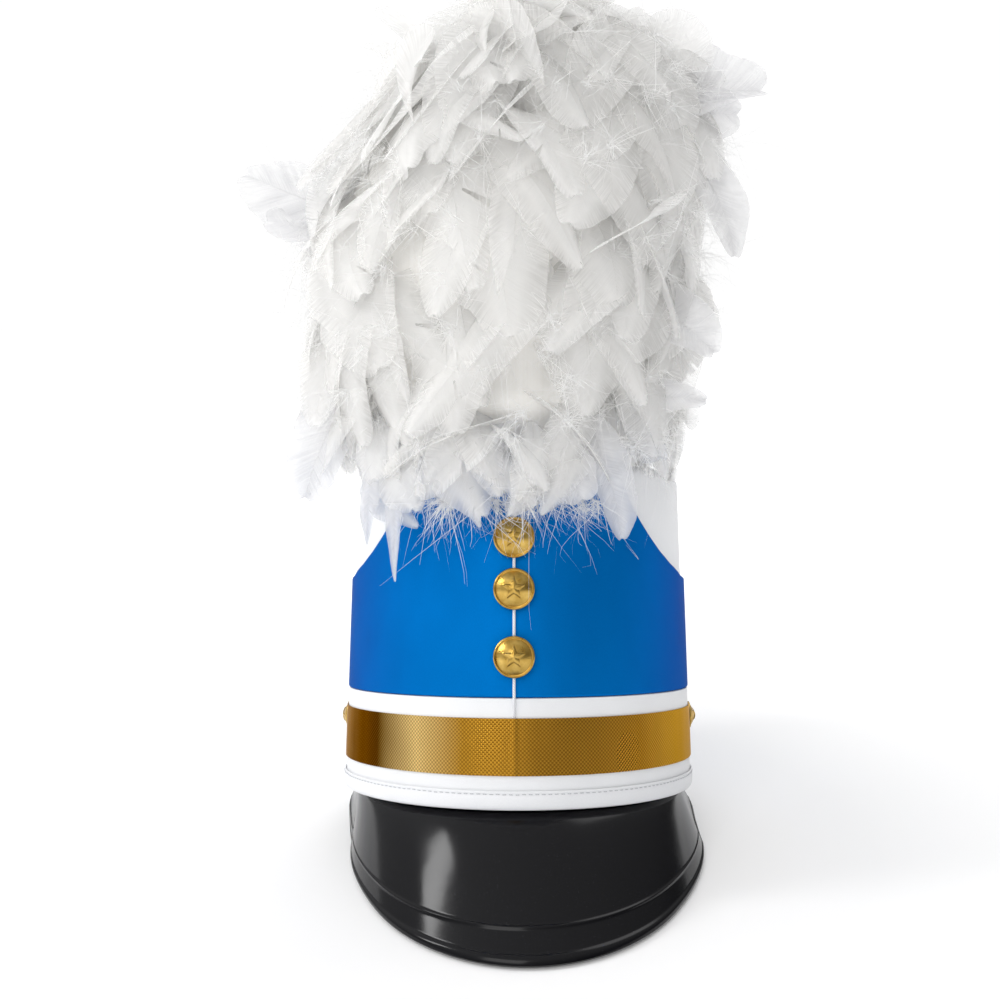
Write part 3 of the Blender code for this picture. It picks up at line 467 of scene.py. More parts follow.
def cloth(name, light, dark, roughness, pitch, depth, sheen=0.2, gloss=0.4, metal=0.0, edge=(1.0, 1.0, 1.0)):
    """Woven cloth: colour between two shades by slow noise and thread, with a weave in its bump.

    Satin has a share of metal, and edge is the colour that its reflection takes at a grazing angle.
    """
    made, tree, shader, _ = new_finish(name)
    woven = node(tree, "Group", {"Pitch": pitch, "Depth": depth}, node_tree=WEAVE).outputs
    colour = ramp(tree, woven["Share"], ((0.25, dark), (0.75, light)))
    rough = maths(tree, "MULTIPLY_ADD", woven["Slow"], 0.16, roughness - 0.08)
    fill(shader, {"Base Color": colour, "Roughness": rough, "Normal": woven["Normal"]})
    fill(shader, {"Sheen Weight": sheen, "Specular IOR Level": gloss})
    fill(shader, {"Metallic": metal, "Specular Tint": (*edge, 1.0)})
    return made


def gold_ribbon():
    """Metallised ribbon: fine dots pressed in along both diagonals, with painted shade in the dots and
    painted reflections as dull and bright stretches along its length.
    """
    made, tree, shader, _ = new_finish("gold_ribbon")
    turned = 2 * math.pi / RIBBON_DOT_PITCH
    parts = node(tree, "SeparateXYZ", {0: stretched(tree, (turned, turned, 0.0))})
    first = maths(tree, "SINE", parts.outputs[0])
    second = maths(tree, "SINE", parts.outputs[1])
    dots = maths(tree, "MULTIPLY_ADD", maths(tree, "MULTIPLY", first, second), 0.5, 0.5)
    slow = noise(tree, stretched(tree, (1.0, 0.75, 0.0)), 30.0, 1.0)
    along = node(tree, "SeparateXYZ", {0: stretched(tree, (1 / RIBBON_LENGTH, 1.0, 0.0))}).outputs[0]
    painted_reflection_place = maths(tree, "ADD", along, maths(tree, "MULTIPLY_ADD", slow, 0.05, -0.025))
    # Painted reflections: the colour runs from dark brown to pale gold along the ribbon's length, standing in
    # for what the metal reflects.
    colour = ramp(
        tree,
        painted_reflection_place,
        (
            (0.08, (0.44, 0.23, 0.030)),
            (0.19, (0.12, 0.052, 0.008)),
            (0.27, (0.085, 0.036, 0.006)),
            (0.36, (0.86, 0.62, 0.24)),
            (0.43, (0.52, 0.27, 0.028)),
            (0.70, (0.46, 0.23, 0.026)),
            (0.86, (0.66, 0.43, 0.11)),
        ),
    )
    # Painted shade: the colour is darkened in the pressed-in dots, where the bump is low.
    lit = ramp(tree, dots, ((0.30, (0.52, 0.47, 0.42)), (0.75, (1.0, 1.0, 1.0))))
    mixed = node(tree, "Mix", {0: 1.0, 6: colour, 7: lit}, data_type="RGBA", blend_type="MULTIPLY")
    rough = maths(tree, "MULTIPLY_ADD", slow, 0.2, 0.2)
    pressed = bump(tree, dots, 0.7, 0.00016)
    fill(shader, {"Base Color": mixed.outputs[2], "Roughness": rough, "Normal": pressed})
    fill(shader, {"Metallic": 1.0, "Specular Tint": (0.75, 0.52, 0.28, 1.0)})
    return made


def gold_metal():
    """Stamped gold-toned metal, a little worn."""
    made, tree, shader, _ = new_finish("gold_metal")
    place = node(tree, "TexCoord", {}).outputs["Object"]
    slow = noise(tree, place, 260.0, 3.0)
    fine = noise(tree, place, 2600.0, 2.0)
    colour = ramp(tree, slow, ((0.3, (0.40, 0.235, 0.042)), (0.7, (0.63, 0.43, 0.12))))
    rough = maths(tree, "MULTIPLY_ADD", slow, 0.2, 0.2)
    fill(shader, {"Base Color": colour, "Roughness": rough, "Normal": bump(tree, fine, 0.2, 0.00004)})
    fill(shader, {"Metallic": 1.0})
    return made


def black_gloss():
    """Moulded gloss plastic: faint ripple, a few dull smears and fine dust."""
    made, tree, shader, _ = new_finish("black_gloss")
    place = node(tree, "TexCoord", {}).outputs["Object"]
    smear = noise(tree, place, 22.0, 5.0)
    dust = noise(tree, place, 1500.0, 1.0)
    colour = ramp(tree, dust, ((0.70, (0.0035, 0.0035, 0.0048)), (0.80, (0.02, 0.02, 0.024))))
    rough = maths(tree, "MULTIPLY_ADD", smear, 0.16, 0.08)
    ripple = bump(tree, noise(tree, place, 60.0, 2.0), 0.12, 0.0006)
    fill(shader, {"Base Color": colour, "Roughness": rough, "Normal": ripple, "Specular IOR Level": 0.22})
    return made


def thread(name, light, dark, pitch):
    """Twisted thread or cord: slanting strands by a wave across its UVs."""
    made, tree, shader, _ = new_finish(name)
    twist = node(tree, "Group", {"Pitch": pitch}, node_tree=TWIST).outputs
    colour = ramp(tree, twist["Share"], ((0.1, dark), (0.8, light)))
    fill(shader, {"Base Color": colour, "Roughness": 0.7, "Normal": twist["Normal"]})
    return made


def feather_finish(name, light, dark, through, lines, depth, thin=0.0):
    """Silky vane, lit from both sides: lines across u, and barbs that part towards v = 1 as far as thin."""
    made, tree, shader, output = new_finish(name)
    barbs = node(tree, "Group", {"Lines": lines, "Depth": depth}, node_tree=BARBS).outputs
    colour = ramp(tree, barbs["Share"], ((0.30, dark), (0.60, light)))
    fill(shader, {"Base Color": colour, "Normal": barbs["Normal"]})
    fill(shader, {"Roughness": 0.55, "Specular IOR Level": 0.35})
    back = node(tree, "BsdfTranslucent", {"Color": colour, "Normal": barbs["Normal"]})
    mixed = node(tree, "MixShader", {0: through, 1: shader.outputs[0], 2: back.outputs[0]})
    if thin:
        place = node(tree, "SeparateXYZ", {0: stretched(tree, (1.0, 1.0, 0.0))})
        span = {0: place.outputs[1], 1: 0.30, 2: 1.0, 3: 0.0, 4: thin}
        edge = node(tree, "MapRange", span, interpolation_type="SMOOTHSTEP")
        parted = maths(tree, "MULTIPLY", edge.outputs[0], maths(tree, "MULTIPLY", barbs["Barbs"], 1.6))
        gap = node(tree, "BsdfTransparent", {})
        mixed = node(tree, "MixShader", {0: parted, 1: mixed.outputs[0], 2: gap.outputs[0]})
    fill(output, {"Surface": mixed.outputs[0]})
    return made


WHITE_CLOTH = cloth("white_cloth", (0.87, 0.88, 0.90), (0.80, 0.81, 0.83), 0.5, 0.0007, 0.00006)
WHITE_BINDING = cloth("white_binding", (0.88, 0.89, 0.91), (0.80, 0.81, 0.84), 0.5, 0.0009, 0.0001)
SATIN = {"sheen": 0.0, "gloss": 0.05, "metal": 0.75, "edge": (0.0, 0.05, 0.20)}
BLUE_CLOTH = cloth("blue_cloth", (0.0006, 0.175, 0.56), (0.0004, 0.135, 0.45), 0.46, 0.0006, 0.00008, **SATIN)
GOLD_RIBBON = gold_ribbon()
GOLD_METAL = gold_metal()
BLACK_GLOSS = black_gloss()
WHITE_CORD = thread("white_cord", (0.88, 0.89, 0.92), (0.62, 0.63, 0.67), 0.0012)
GREY_THREAD = thread("grey_thread", (0.66, 0.67, 0.70), (0.46, 0.47, 0.50), 0.0008)
LONG_VANE = {"through": 0.45, "lines": 900.0, "depth": 0.0007, "thin": 0.40}
# The long feathers are the same white feathers as the rest, given darker colours: painted shade.
LONG_FEATHER_PAINTED_SHADE = feather_finish("long_feather", (0.93, 0.93, 0.935), (0.70, 0.70, 0.72), **LONG_VANE)
FEATHER = feather_finish("feather", (0.985, 0.98, 0.97), (0.91, 0.91, 0.905), 0.58, 1000.0, 0.00036, 0.58)
DOWN = feather_finish("down", (0.955, 0.955, 0.955), (0.91, 0.91, 0.91), 0.5, 900.0, 0.0001)
# The core's cream, darker and warmer than the feathers, is painted shade for the hollows deep between the
# feathers.
DOWN_CORE_PAINTED_SHADE = feather_finish("down_core", (0.95, 0.94, 0.915), (0.88, 0.86, 0.82), 0.10, 500.0, 0.0006)


# Crown, bands and panel


def crown_wall():
    """The wall's section: up the outside, round the rolled edge to its lip, and down the inside."""
    foot = BINDING_THICKNESS + GAP
    centre = CROWN_HEIGHT - ROLL_RADIUS
    bends = np.linspace(0.0, math.pi / 2, 9)
    outer = together(-ROLL_RADIUS * (1 - np.cos(bends)), centre + ROLL_RADIUS * np.sin(bends))
    inner_radius = ROLL_RADIUS - WALL
    back = bends[::-1]
    inner = together(-ROLL_RADIUS + inner_radius * np.cos(back), centre + inner_radius * np.sin(back))
    lip = -ROLL_RADIUS - LIP_WIDTH
    levels = np.linspace(foot, centre, 12)[:-1]
    up = together(0.0, levels)
    down = together(-WALL, levels[::-1])
    ends = np.array(((lip, CROWN_HEIGHT), (lip, CROWN_HEIGHT - WALL)))
    profile = np.concatenate((up, outer, ends, inner, down))
    sections = round_crown(ring_turns(OVAL_SIDES), profile)
    return band("crown_shell", sections, True, WHITE_CLOTH, "crown_wall")


def crown_top():
    """The oval top: a shallow cushion of concentric ovals, closed below, its seam just inside the lip."""
    seam = -ROLL_RADIUS - LIP_WIDTH - GAP
    rings = np.linspace(0.02, 1.0, 22)
    turns = ring_turns(OVAL_SIDES)
    low = CROWN_HEIGHT - WALL - GAP - TOP_THICKNESS
    width = TOP_HALF_WIDTH + seam
    depth = TOP_HALF_DEPTH + seam
    puff = 0.0009 * (1 - rings**2) - 0.0009 * smooth_step(rings, 0.94, 1.0)
    x = width * rings[None] * np.sin(turns)[:, None]
    y = -depth * rings[None] * np.cos(turns)[:, None]
    upper = together(x, y, CROWN_HEIGHT - 0.0002 + puff)
    lower = upper[:, ::-1].copy()
    lower[..., 2] = low
    grid = np.concatenate((upper, lower), axis=1)
    count = grid.shape[1]
    quads, _, _ = grid_faces(OVAL_SIDES, count, True, False)
    points = grid.reshape(-1, 3)
    caps = [np.arange(OVAL_SIDES)[None] * count + column for column in (0, count - 1)]
    faces = [quads, *caps]
    uv = [points[face][..., :2] for face in faces]
    return add_piece("crown_lid", points, faces, uv, WHITE_CLOTH, "crown_top", sharp=50.0)


def base_band():
    """The white band round the crown's foot, its edges a little rounded."""
    inner = GAP
    outer = GAP + BASE_BAND_THICKNESS
    foot = BINDING_THICKNESS + GAP
    corners = ((outer, foot), (outer, BASE_BAND_HEIGHT), (inner, BASE_BAND_HEIGHT), (inner, foot))
    sections = round_crown(ring_turns(OVAL_SIDES), rounded(corners, 0.0004))
    return band("foot_band", sections, True, WHITE_CLOTH, "base_band")


def binding_outside():
    """How far the binding's outer face stands out from the wall."""
    return GAP + BASE_BAND_THICKNESS + GAP + BINDING_THICKNESS


def rim_binding():
    """The folded strip round the rim, its fold softly round and its outer leg drawn in at the stitches."""
    outer = binding_outside()
    outer_face = outer - BINDING_THICKNESS
    inner_face = -WALL - GAP
    inner = inner_face - BINDING_THICKNESS
    draw = STITCH_HEIGHT
    corners = (
        (outer - 0.0001, BINDING_HEIGHT),
        (outer, draw + 0.0009),
        (outer - 0.00025, draw),
        (outer + 0.0001, draw - 0.0016),
        (outer, 0.0022),
        (outer_face, 0.0),
        (inner, 0.0),
        (inner, BINDING_HEIGHT),
        (inner_face, BINDING_HEIGHT),
        (inner_face, BINDING_THICKNESS),
        (outer_face, BINDING_THICKNESS),
        (outer_face, BINDING_HEIGHT),
    )
    sections = round_crown(ring_turns(OVAL_SIDES), rounded(corners, 0.0014, 5))
    return band("binding", sections, True, WHITE_BINDING, "rim_binding")


def stitches():
    """Straight stitches round the binding: short rods with round ends that dip in at both ends."""
    around = 2 * math.pi * (RIM_HALF_WIDTH + RIM_HALF_DEPTH) / 2
    count = int(around / STITCH_PITCH)
    centres = ring_turns(count)
    stations = 7
    sides = 6
    along = np.linspace(-0.5, 0.5, stations)
    turns = centres[:, None] + along[None] * STITCH_LENGTH * 2 * math.pi / around
    rise = STITCH_RADIUS * (0.9 - 2.8 * np.abs(along) ** 3 * 2)
    slant = chance.normal(0.0, 0.00008, count)[:, None] * along[None]
    height = STITCH_HEIGHT + slant + chance.normal(0.0, 0.00005, count)[:, None]
    centre = on_crown(turns, binding_outside() - 0.0002 + rise[None], height)
    round_it = np.arange(sides) * 2 * math.pi / sides
    thick = STITCH_RADIUS * np.sqrt(np.clip(1 - (2.05 * np.abs(along)) ** 6, 0.1, 1.0))
    outward = unit(on_crown(turns, 0.01, height) - on_crown(turns, 0.0, height))
    up = np.array((0.0, 0.0, 1.0))
    ring = (
        outward[:, :, None] * np.cos(round_it)[None, None, :, None]
        + up * np.sin(round_it)[None, None, :, None]
    )
    points = centre[:, :, None] + ring * thick[None, :, None, None]
    quads, i, j = grid_faces(stations, sides, False, True)
    each = stations * sides
    faces = [copies(quads, count, each).reshape(-1, 4)]
    uv = [np.tile(together(i * STITCH_LENGTH / stations, j * 0.0003), (count, 1, 1))]
    for station in (0, stations - 1):
        cap = station * sides + np.arange(sides)
        faces.append(copies(cap[None], count, each).reshape(-1, sides))
        uv.append(np.zeros((count, sides, 2)))
    return add_piece("binding_stitches", points.reshape(-1, 3), faces, uv, GREY_THREAD, None)


def gold_outside():
    """How far the gold band's outer face stands out from the wall."""
    return GAP + BASE_BAND_THICKNESS + GAP + GOLD_BAND_THICKNESS


def gold_band():
    """A ribbon round the front; over the cord's hidden end it rises in a thin ridge."""
    end = math.radians(GOLD_BAND_END_DEG)
    turns = np.linspace(-end, end, OVAL_SIDES + 1)
    outer = gold_outside()
    inner = outer - GOLD_BAND_THICKNESS
    head = GOLD_BAND_FOOT + GOLD_BAND_WIDTH
    levels = np.linspace(GOLD_BAND_FOOT, head, 14)
    profile = np.concatenate((together(outer, levels), together(inner, levels[::-1])))
    ridge = 0.00035 * np.exp(-((turns * RIM_HALF_DEPTH / 0.0011) ** 2))
    buckle = 0.00012 * np.sin(turns * 23.0) * np.sin(turns * 9.0 + 1.0)
    front = np.concatenate((np.ones(len(levels)), np.zeros(len(levels))))
    out = profile[None, :, 0] + (ridge + np.abs(buckle))[:, None] * front[None]
    sections = on_crown(turns[:, None], out, profile[None, :, 1])
    return band("gold_ribbon_band", sections, False, GOLD_RIBBON, "gold_band")


def front_panel():
    """Blue cloth: its upper edge follows the table, its edges are turned in and softly round."""
    seam = PANEL_SEAM / RIM_HALF_WIDTH
    turns = np.linspace(-math.pi + seam, math.pi - seam, 2 * OVAL_SIDES + 1)
    share = np.abs(turns) / (math.pi / 2)
    rise = np.interp(share, [row["turn"] for row in PANEL_EDGE], [row["rise"] for row in PANEL_EDGE])
    window = np.hanning(9)
    padded = np.pad(rise, 4, mode="edge")
    rise = np.convolve(padded, window / window.sum(), mode="valid")
    head = PANEL_SHOULDER_HEIGHT + rise * (PANEL_TOP_HEIGHT - PANEL_SHOULDER_HEIGHT)
    inner = GAP
    outer = GAP + PANEL_THICKNESS
    rows = 26
    bend = np.linspace(0.0, math.pi / 2, 6)
    soft = PANEL_THICKNESS * 0.55
    face_share = np.linspace(0.0, 1.0, rows)
    low_out = outer - soft * (1 - np.sin(bend))
    low_up = soft * (1 - np.cos(bend))
    out = np.concatenate((low_out, np.full(rows, outer), low_out[::-1], [inner, inner]))
    bottom = PANEL_FOOT + low_up[None] + 0 * head[:, None]
    middle = PANEL_FOOT + soft + face_share[None] * (head[:, None] - PANEL_FOOT - 2 * soft)
    top = head[:, None] - low_up[::-1][None]
    height = np.concatenate((bottom, middle, top, together(head, PANEL_FOOT)), axis=1)
    sections = on_crown(turns[:, None], out[None], height)
    return band("blue_panel", sections, False, BLUE_CLOTH, "front_panel")


# Visor


def rear_contact():
    """How far behind the hat's axis the rim meets the floor."""
    return RIM_HALF_DEPTH + binding_outside() - BINDING_THICKNESS


def rest_slope():
    """Fall for each metre from the back of the rim to the visor's front edge."""
    return VISOR_DROP / (VISOR_REACH + rear_contact())


def visor_edge(turns):
    """The middle of the visor's bead: a half oval in front, then a rising bend to each end."""
    side = math.radians(VISOR_SIDE_DEG)
    end = math.radians(VISOR_END_DEG)
    slope = rest_slope()
    lift = VISOR_BEAD_RADIUS * math.hypot(1.0, slope)
    swing = np.clip(turns / side, -1.0, 1.0) * math.pi / 2
    x = VISOR_HALF_WIDTH * np.sin(swing)
    y = -VISOR_CENTRE_DEPTH - (VISOR_REACH - VISOR_CENTRE_DEPTH) * np.cos(swing)
    z = -(rear_contact() - y) * slope + lift
    t = np.clip((np.abs(turns) - side) / (end - side), 0.0, 1.0)
    start_z = -(rear_contact() + VISOR_CENTRE_DEPTH) * slope + lift
    middle_y = -0.45 * VISOR_CENTRE_DEPTH
    middle_z = start_z + (middle_y + VISOR_CENTRE_DEPTH) * slope
    past = t > 0
    y = np.where(past, (1 - t) ** 2 * -VISOR_CENTRE_DEPTH + 2 * t * (1 - t) * middle_y, y)
    end_z = -2.2 * VISOR_BEAD_RADIUS
    z = np.where(past, (1 - t) ** 2 * start_z + 2 * t * (1 - t) * middle_z + t**2 * end_z, z)
    widest = math.radians(VISOR_WIDEST_DEG)
    rise = smooth_step(np.abs(turns), 0.5 * widest, widest)
    flare = VISOR_FLARE * np.sign(turns) * rise * (1 - smooth_step(np.abs(turns), widest, end + 0.03))
    return together(x + VISOR_SIDEWAYS * (1 - t) + flare, y, z)


def visor():
    """A gloss shell from a flange inside the rim out to a rolled bead.

    Its middle surface runs straight out in plan, while the drop grows as a flattened square root.
    Both faces stand off that surface by half the thickness, plus the raised line and the round bead.
    """
    end = math.radians(VISOR_END_DEG)
    turns = np.linspace(-end, end, 181)
    inside = -WALL - GAP - BINDING_THICKNESS - VISOR_GAP - VISOR_THICKNESS / 2
    root_z = -VISOR_GAP - VISOR_THICKNESS / 2
    x = (RIM_HALF_WIDTH + inside) * np.sin(turns)
    y = -(RIM_HALF_DEPTH + inside) * np.cos(turns)
    root = together(x, y, root_z)
    edge = visor_edge(turns)
    width = np.linalg.norm(edge - root, axis=-1)
    strength = np.clip(width / (0.5 * width.max()), 0.0, 1.0)[:, None]
    spans = ((0.0, 0.76, 26), (0.77, 0.83, 13), (0.84, 1.0, 25))
    out = np.concatenate([np.linspace(*span) for span in spans])
    fall = (np.hypot(out, VISOR_SHELF) - VISOR_SHELF) / (math.hypot(1.0, VISOR_SHELF) - VISOR_SHELF)
    shares = together(out, out, fall)
    sheet = root[:, None] + (edge - root)[:, None] * shares[None]
    collar = root[:, None] + together(0.0, 0.0, np.array((VISOR_FLANGE_HEIGHT - root_z, 0.004, 0.0012)))[None]
    surface = np.concatenate((collar, sheet), axis=1)
    line = np.exp(-(((out - 0.80) / 0.0105) ** 2))
    bead_at = np.clip((out - 0.925) / (1.0 - 0.925), 0.0, 1.0)
    bead = np.sin(np.clip(bead_at, 0, 1) * math.pi * 0.87) ** 0.8
    plain = VISOR_THICKNESS / 2
    half = np.maximum(plain * (1 - smooth_step(out, 0.99, 1.0) * 0.55), VISOR_BEAD_RADIUS * bead * strength)
    half = np.pad(half, ((0, 0), (3, 0)), constant_values=plain)[..., None]
    top = np.pad(VISOR_LINE_HEIGHT * line[None] * strength, ((0, 0), (3, 0)))[..., None]
    normal = unit(np.cross(np.gradient(surface, axis=1), np.gradient(surface, axis=0)))
    if normal[len(turns) // 2, -2, 2] < 0:
        normal = -normal
    sections = np.concatenate((surface + normal * (half + top), (surface - normal * half)[:, ::-1]), axis=1)
    return band("visor_shell", sections, False, BLACK_GLOSS, "visor", sharp=50.0)


# Buttons and cord


def cord_out():
    """How far the cord's middle stands out from the wall, where it runs in front of the panel."""
    return GAP + PANEL_THICKNESS + GAP + EYE_WALL + GAP + CORD_RADIUS


def standoff():
    """How far a front button's back face stands off the panel."""
    return cord_out() - GAP - PANEL_THICKNESS + CORD_RADIUS + GAP + 0.5 * EYE_WALL


def star_height(radius, turn):
    """A raised five-pointed star: highest at its middle, 0 outside; radius is a share of its points'."""
    wedge = math.pi / 5
    fold = np.abs((turn + wedge) % (2 * wedge) - wedge)
    inner = 0.42
    point = np.array((1.0, 0.0))
    valley = inner * np.array((math.cos(wedge), math.sin(wedge)))
    normal = np.array((valley[1] - point[1], point[0] - valley[0]))
    normal /= np.linalg.norm(normal)
    edge_room = normal @ point - radius * (normal[0] * np.cos(fold) + normal[1] * np.sin(fold))
    slope = smooth_step(edge_room, 0.0, 0.06)
    return slope * (0.35 + 0.9 * np.clip(edge_room, 0.0, 0.4))


def button(name, radius, dome, depth, matrix, node_name):
    """A domed button: height over radius gives a round rim, a groove and a dome with a star and fine rays."""
    sides = 100
    turns = np.arange(sides) * 2 * math.pi / sides
    shares = np.concatenate((np.linspace(0.012, 0.80, 30), np.linspace(0.815, 0.985, 14)))
    base = 0.22 * dome
    face = 0.87
    inside = np.clip(1 - (shares / face) ** 2, 0.0, 1.0)
    crown = base + (dome - base) * inside
    rim = 0.35 * base * np.exp(-(((shares - 0.935) / 0.035) ** 2)) + base
    profile = np.where(shares < face, np.maximum(crown, base * 0.8), rim)
    star = star_height(shares[None] / 0.60, turns[:, None] - math.pi / 2)
    ring = smooth_step(shares, 0.63, 0.72) * (1 - smooth_step(shares, 0.80, 0.86))
    rays = 0.018 * np.sin(turns[:, None] * 40) * ring
    height = profile[None] + dome * (0.32 * star + rays)
    spread = np.concatenate((shares, (1.0, 1.0, 0.94, 0.10)))
    lower = np.broadcast_to(np.array((0.75 * base, 0.35 * base, 0.0, 0.0)), (sides, 4))
    height = np.concatenate((height, lower), axis=1)
    x = radius * spread[None] * np.cos(turns)[:, None]
    y = radius * spread[None] * np.sin(turns)[:, None]
    points = together(x, y, height)
    count = points.shape[1]
    quads, _, _ = grid_faces(sides, count, True, False)
    faces = [quads] + [np.arange(sides)[None] * count + column for column in (0, count - 1)]
    flat = points.reshape(-1, 3)
    if depth:
        low = -depth
        block = np.array([(x, y, z) for z in (low, 0.3 * base) for y in (-1, 1) for x in (-1, 1)], float)
        block[:, 0] *= EYE_HALF_WIDTH
        block[:, 1] *= EYE_HALF_HEIGHT
        box = ((0, 2, 3, 1), (4, 5, 7, 6), (0, 1, 5, 4), (2, 6, 7, 3), (0, 4, 6, 2), (1, 3, 7, 5))
        faces.append(np.array(box) + len(flat))
        flat = np.concatenate((flat, block))
    uv = [flat[face_set][..., :2] for face_set in faces]
    turned = flat @ np.array(matrix.to_3x3()).T + np.array(matrix.translation)
    return add_piece(name, turned, faces, uv, GOLD_METAL, node_name, sharp=40.0)


def buttons():
    """Three buttons down the front and one on each end of the gold band, square to the wall there."""
    lean = math.atan2(RIM_HALF_DEPTH - TOP_HALF_DEPTH, CROWN_HEIGHT)
    for number, height in enumerate(FRONT_BUTTON_HEIGHTS, start=1):
        out = half_depth(height) + GAP + PANEL_THICKNESS + standoff()
        matrix = Matrix.Translation((0.0, -out, height)) @ Matrix.Rotation(math.pi / 2 - lean, 4, "X")
        size = (FRONT_BUTTON_RADIUS, FRONT_BUTTON_DOME, standoff() - GAP)
        button(f"button_front_{number}", *size, matrix, f"front_button_{number}")
    lean = math.atan2(RIM_HALF_WIDTH - TOP_HALF_WIDTH, CROWN_HEIGHT)
    out = gold_outside() + GAP + SIDE_BUTTON_RADIUS**2 / (2 * RIM_HALF_DEPTH)
    for side, sign in (("left", -1), ("right", 1)):
        turn = math.radians(SIDE_BUTTON_DEG) * sign
        place = on_crown(turn, out, SIDE_BUTTON_HEIGHT)
        facing = math.atan2(-math.cos(turn) * RIM_HALF_WIDTH, math.sin(turn) * RIM_HALF_DEPTH)
        matrix = Matrix.Translation(place.tolist()) @ Matrix.Rotation(facing, 4, "Z")
        matrix = matrix @ Matrix.Rotation(math.pi / 2 - lean, 4, "Y")
        size = (SIDE_BUTTON_RADIUS, SIDE_BUTTON_DOME, 0.0)
        button(f"button_side_{side}", *size, matrix, f"side_button_{side}")


def button_cord():
    """A round cord down the front, behind the buttons, ending on the gold band's edge."""
    end_height = GOLD_BAND_FOOT + GOLD_BAND_WIDTH + GAP + CORD_RADIUS
    band_out = GAP + BASE_BAND_THICKNESS + GAP + CORD_RADIUS
    low_button = min(FRONT_BUTTON_HEIGHTS) - 2 * EYE_HALF_HEIGHT
    heights = np.linspace(CORD_TOP_HEIGHT, low_button, 24)
    out = np.full_like(heights, cord_out())
    middle = (low_button + end_height) / 2
    heights = np.concatenate((heights, (middle, end_height + 2 * CORD_RADIUS, end_height)))
    out = np.concatenate(
        (out, ((cord_out() + band_out) / 2 + 2 * CORD_RADIUS, band_out + 2 * CORD_RADIUS, band_out))
    )
    centre = together(0.0, -(half_depth(heights) + out), heights)
    along = unit(np.gradient(centre, axis=0))
    across = np.broadcast_to(RIGHT, along.shape)
    third = np.cross(along, across)
    turns = np.arange(14) * 2 * math.pi / 14
    ring = across[:, None] * np.cos(turns)[None, :, None] + third[:, None] * np.sin(turns)[None, :, None]
    sections = centre[:, None] + CORD_RADIUS * ring
    return band("cord", sections, False, WHITE_CORD, "button_cord")


# Plume


def reach_at(height, key):
    """How far the mass of feathers reaches on one side at a height."""
    return np.interp(height, [row["height"] for row in PLUME_OUTLINE], [row[key] for row in PLUME_OUTLINE])


def envelope(turn, height, share):
    """A point inside the mass of feathers: turn from the front, height, and share of the way out."""
    left = reach_at(height, "left")
    right = reach_at(height, "right")
    middle = (right - left) / 2
    half = (right + left) / 2
    x = middle + share * half * np.sin(turn)
    y = -PLUME_FORWARD - share * half * PLUME_DEPTH_SHARE * np.cos(turn)
    return together(x, y, height)


def clear_of_crown(points, room):
    """Points moved off the crown: out past panel and buttons beside it, up onto its top over it."""
    x, y, z = np.moveaxis(points, -1, 0)
    level = np.minimum(z, CROWN_HEIGHT)
    radius = np.hypot(x, y) + 1e-9
    reach = np.hypot(x / half_width(level), y / half_depth(level)) + 1e-9
    turn = np.abs(np.arctan2(x, -y))
    front = 1 - smooth_step(turn, math.radians(6.0), math.radians(10.0))
    low_front = front * (1 - smooth_step(z, 0.130, 0.134))
    need = GAP + PANEL_THICKNESS + low_front * (standoff() + FRONT_BUTTON_DOME) + front * 0.003 + room
    out = (reach - 1.0) * radius / reach
    under = z < CROWN_HEIGHT + room
    beside = under & (out > -0.014) & (z < CROWN_HEIGHT - 0.001 + 0.5 * out)
    share = np.where(beside & (out < need), (radius / reach + need) / (radius / reach) / reach, 1.0)
    lifted = np.where(under & ~beside & (out < 0.0), CROWN_HEIGHT + room, z)
    return together(x * share, y * share, lifted)


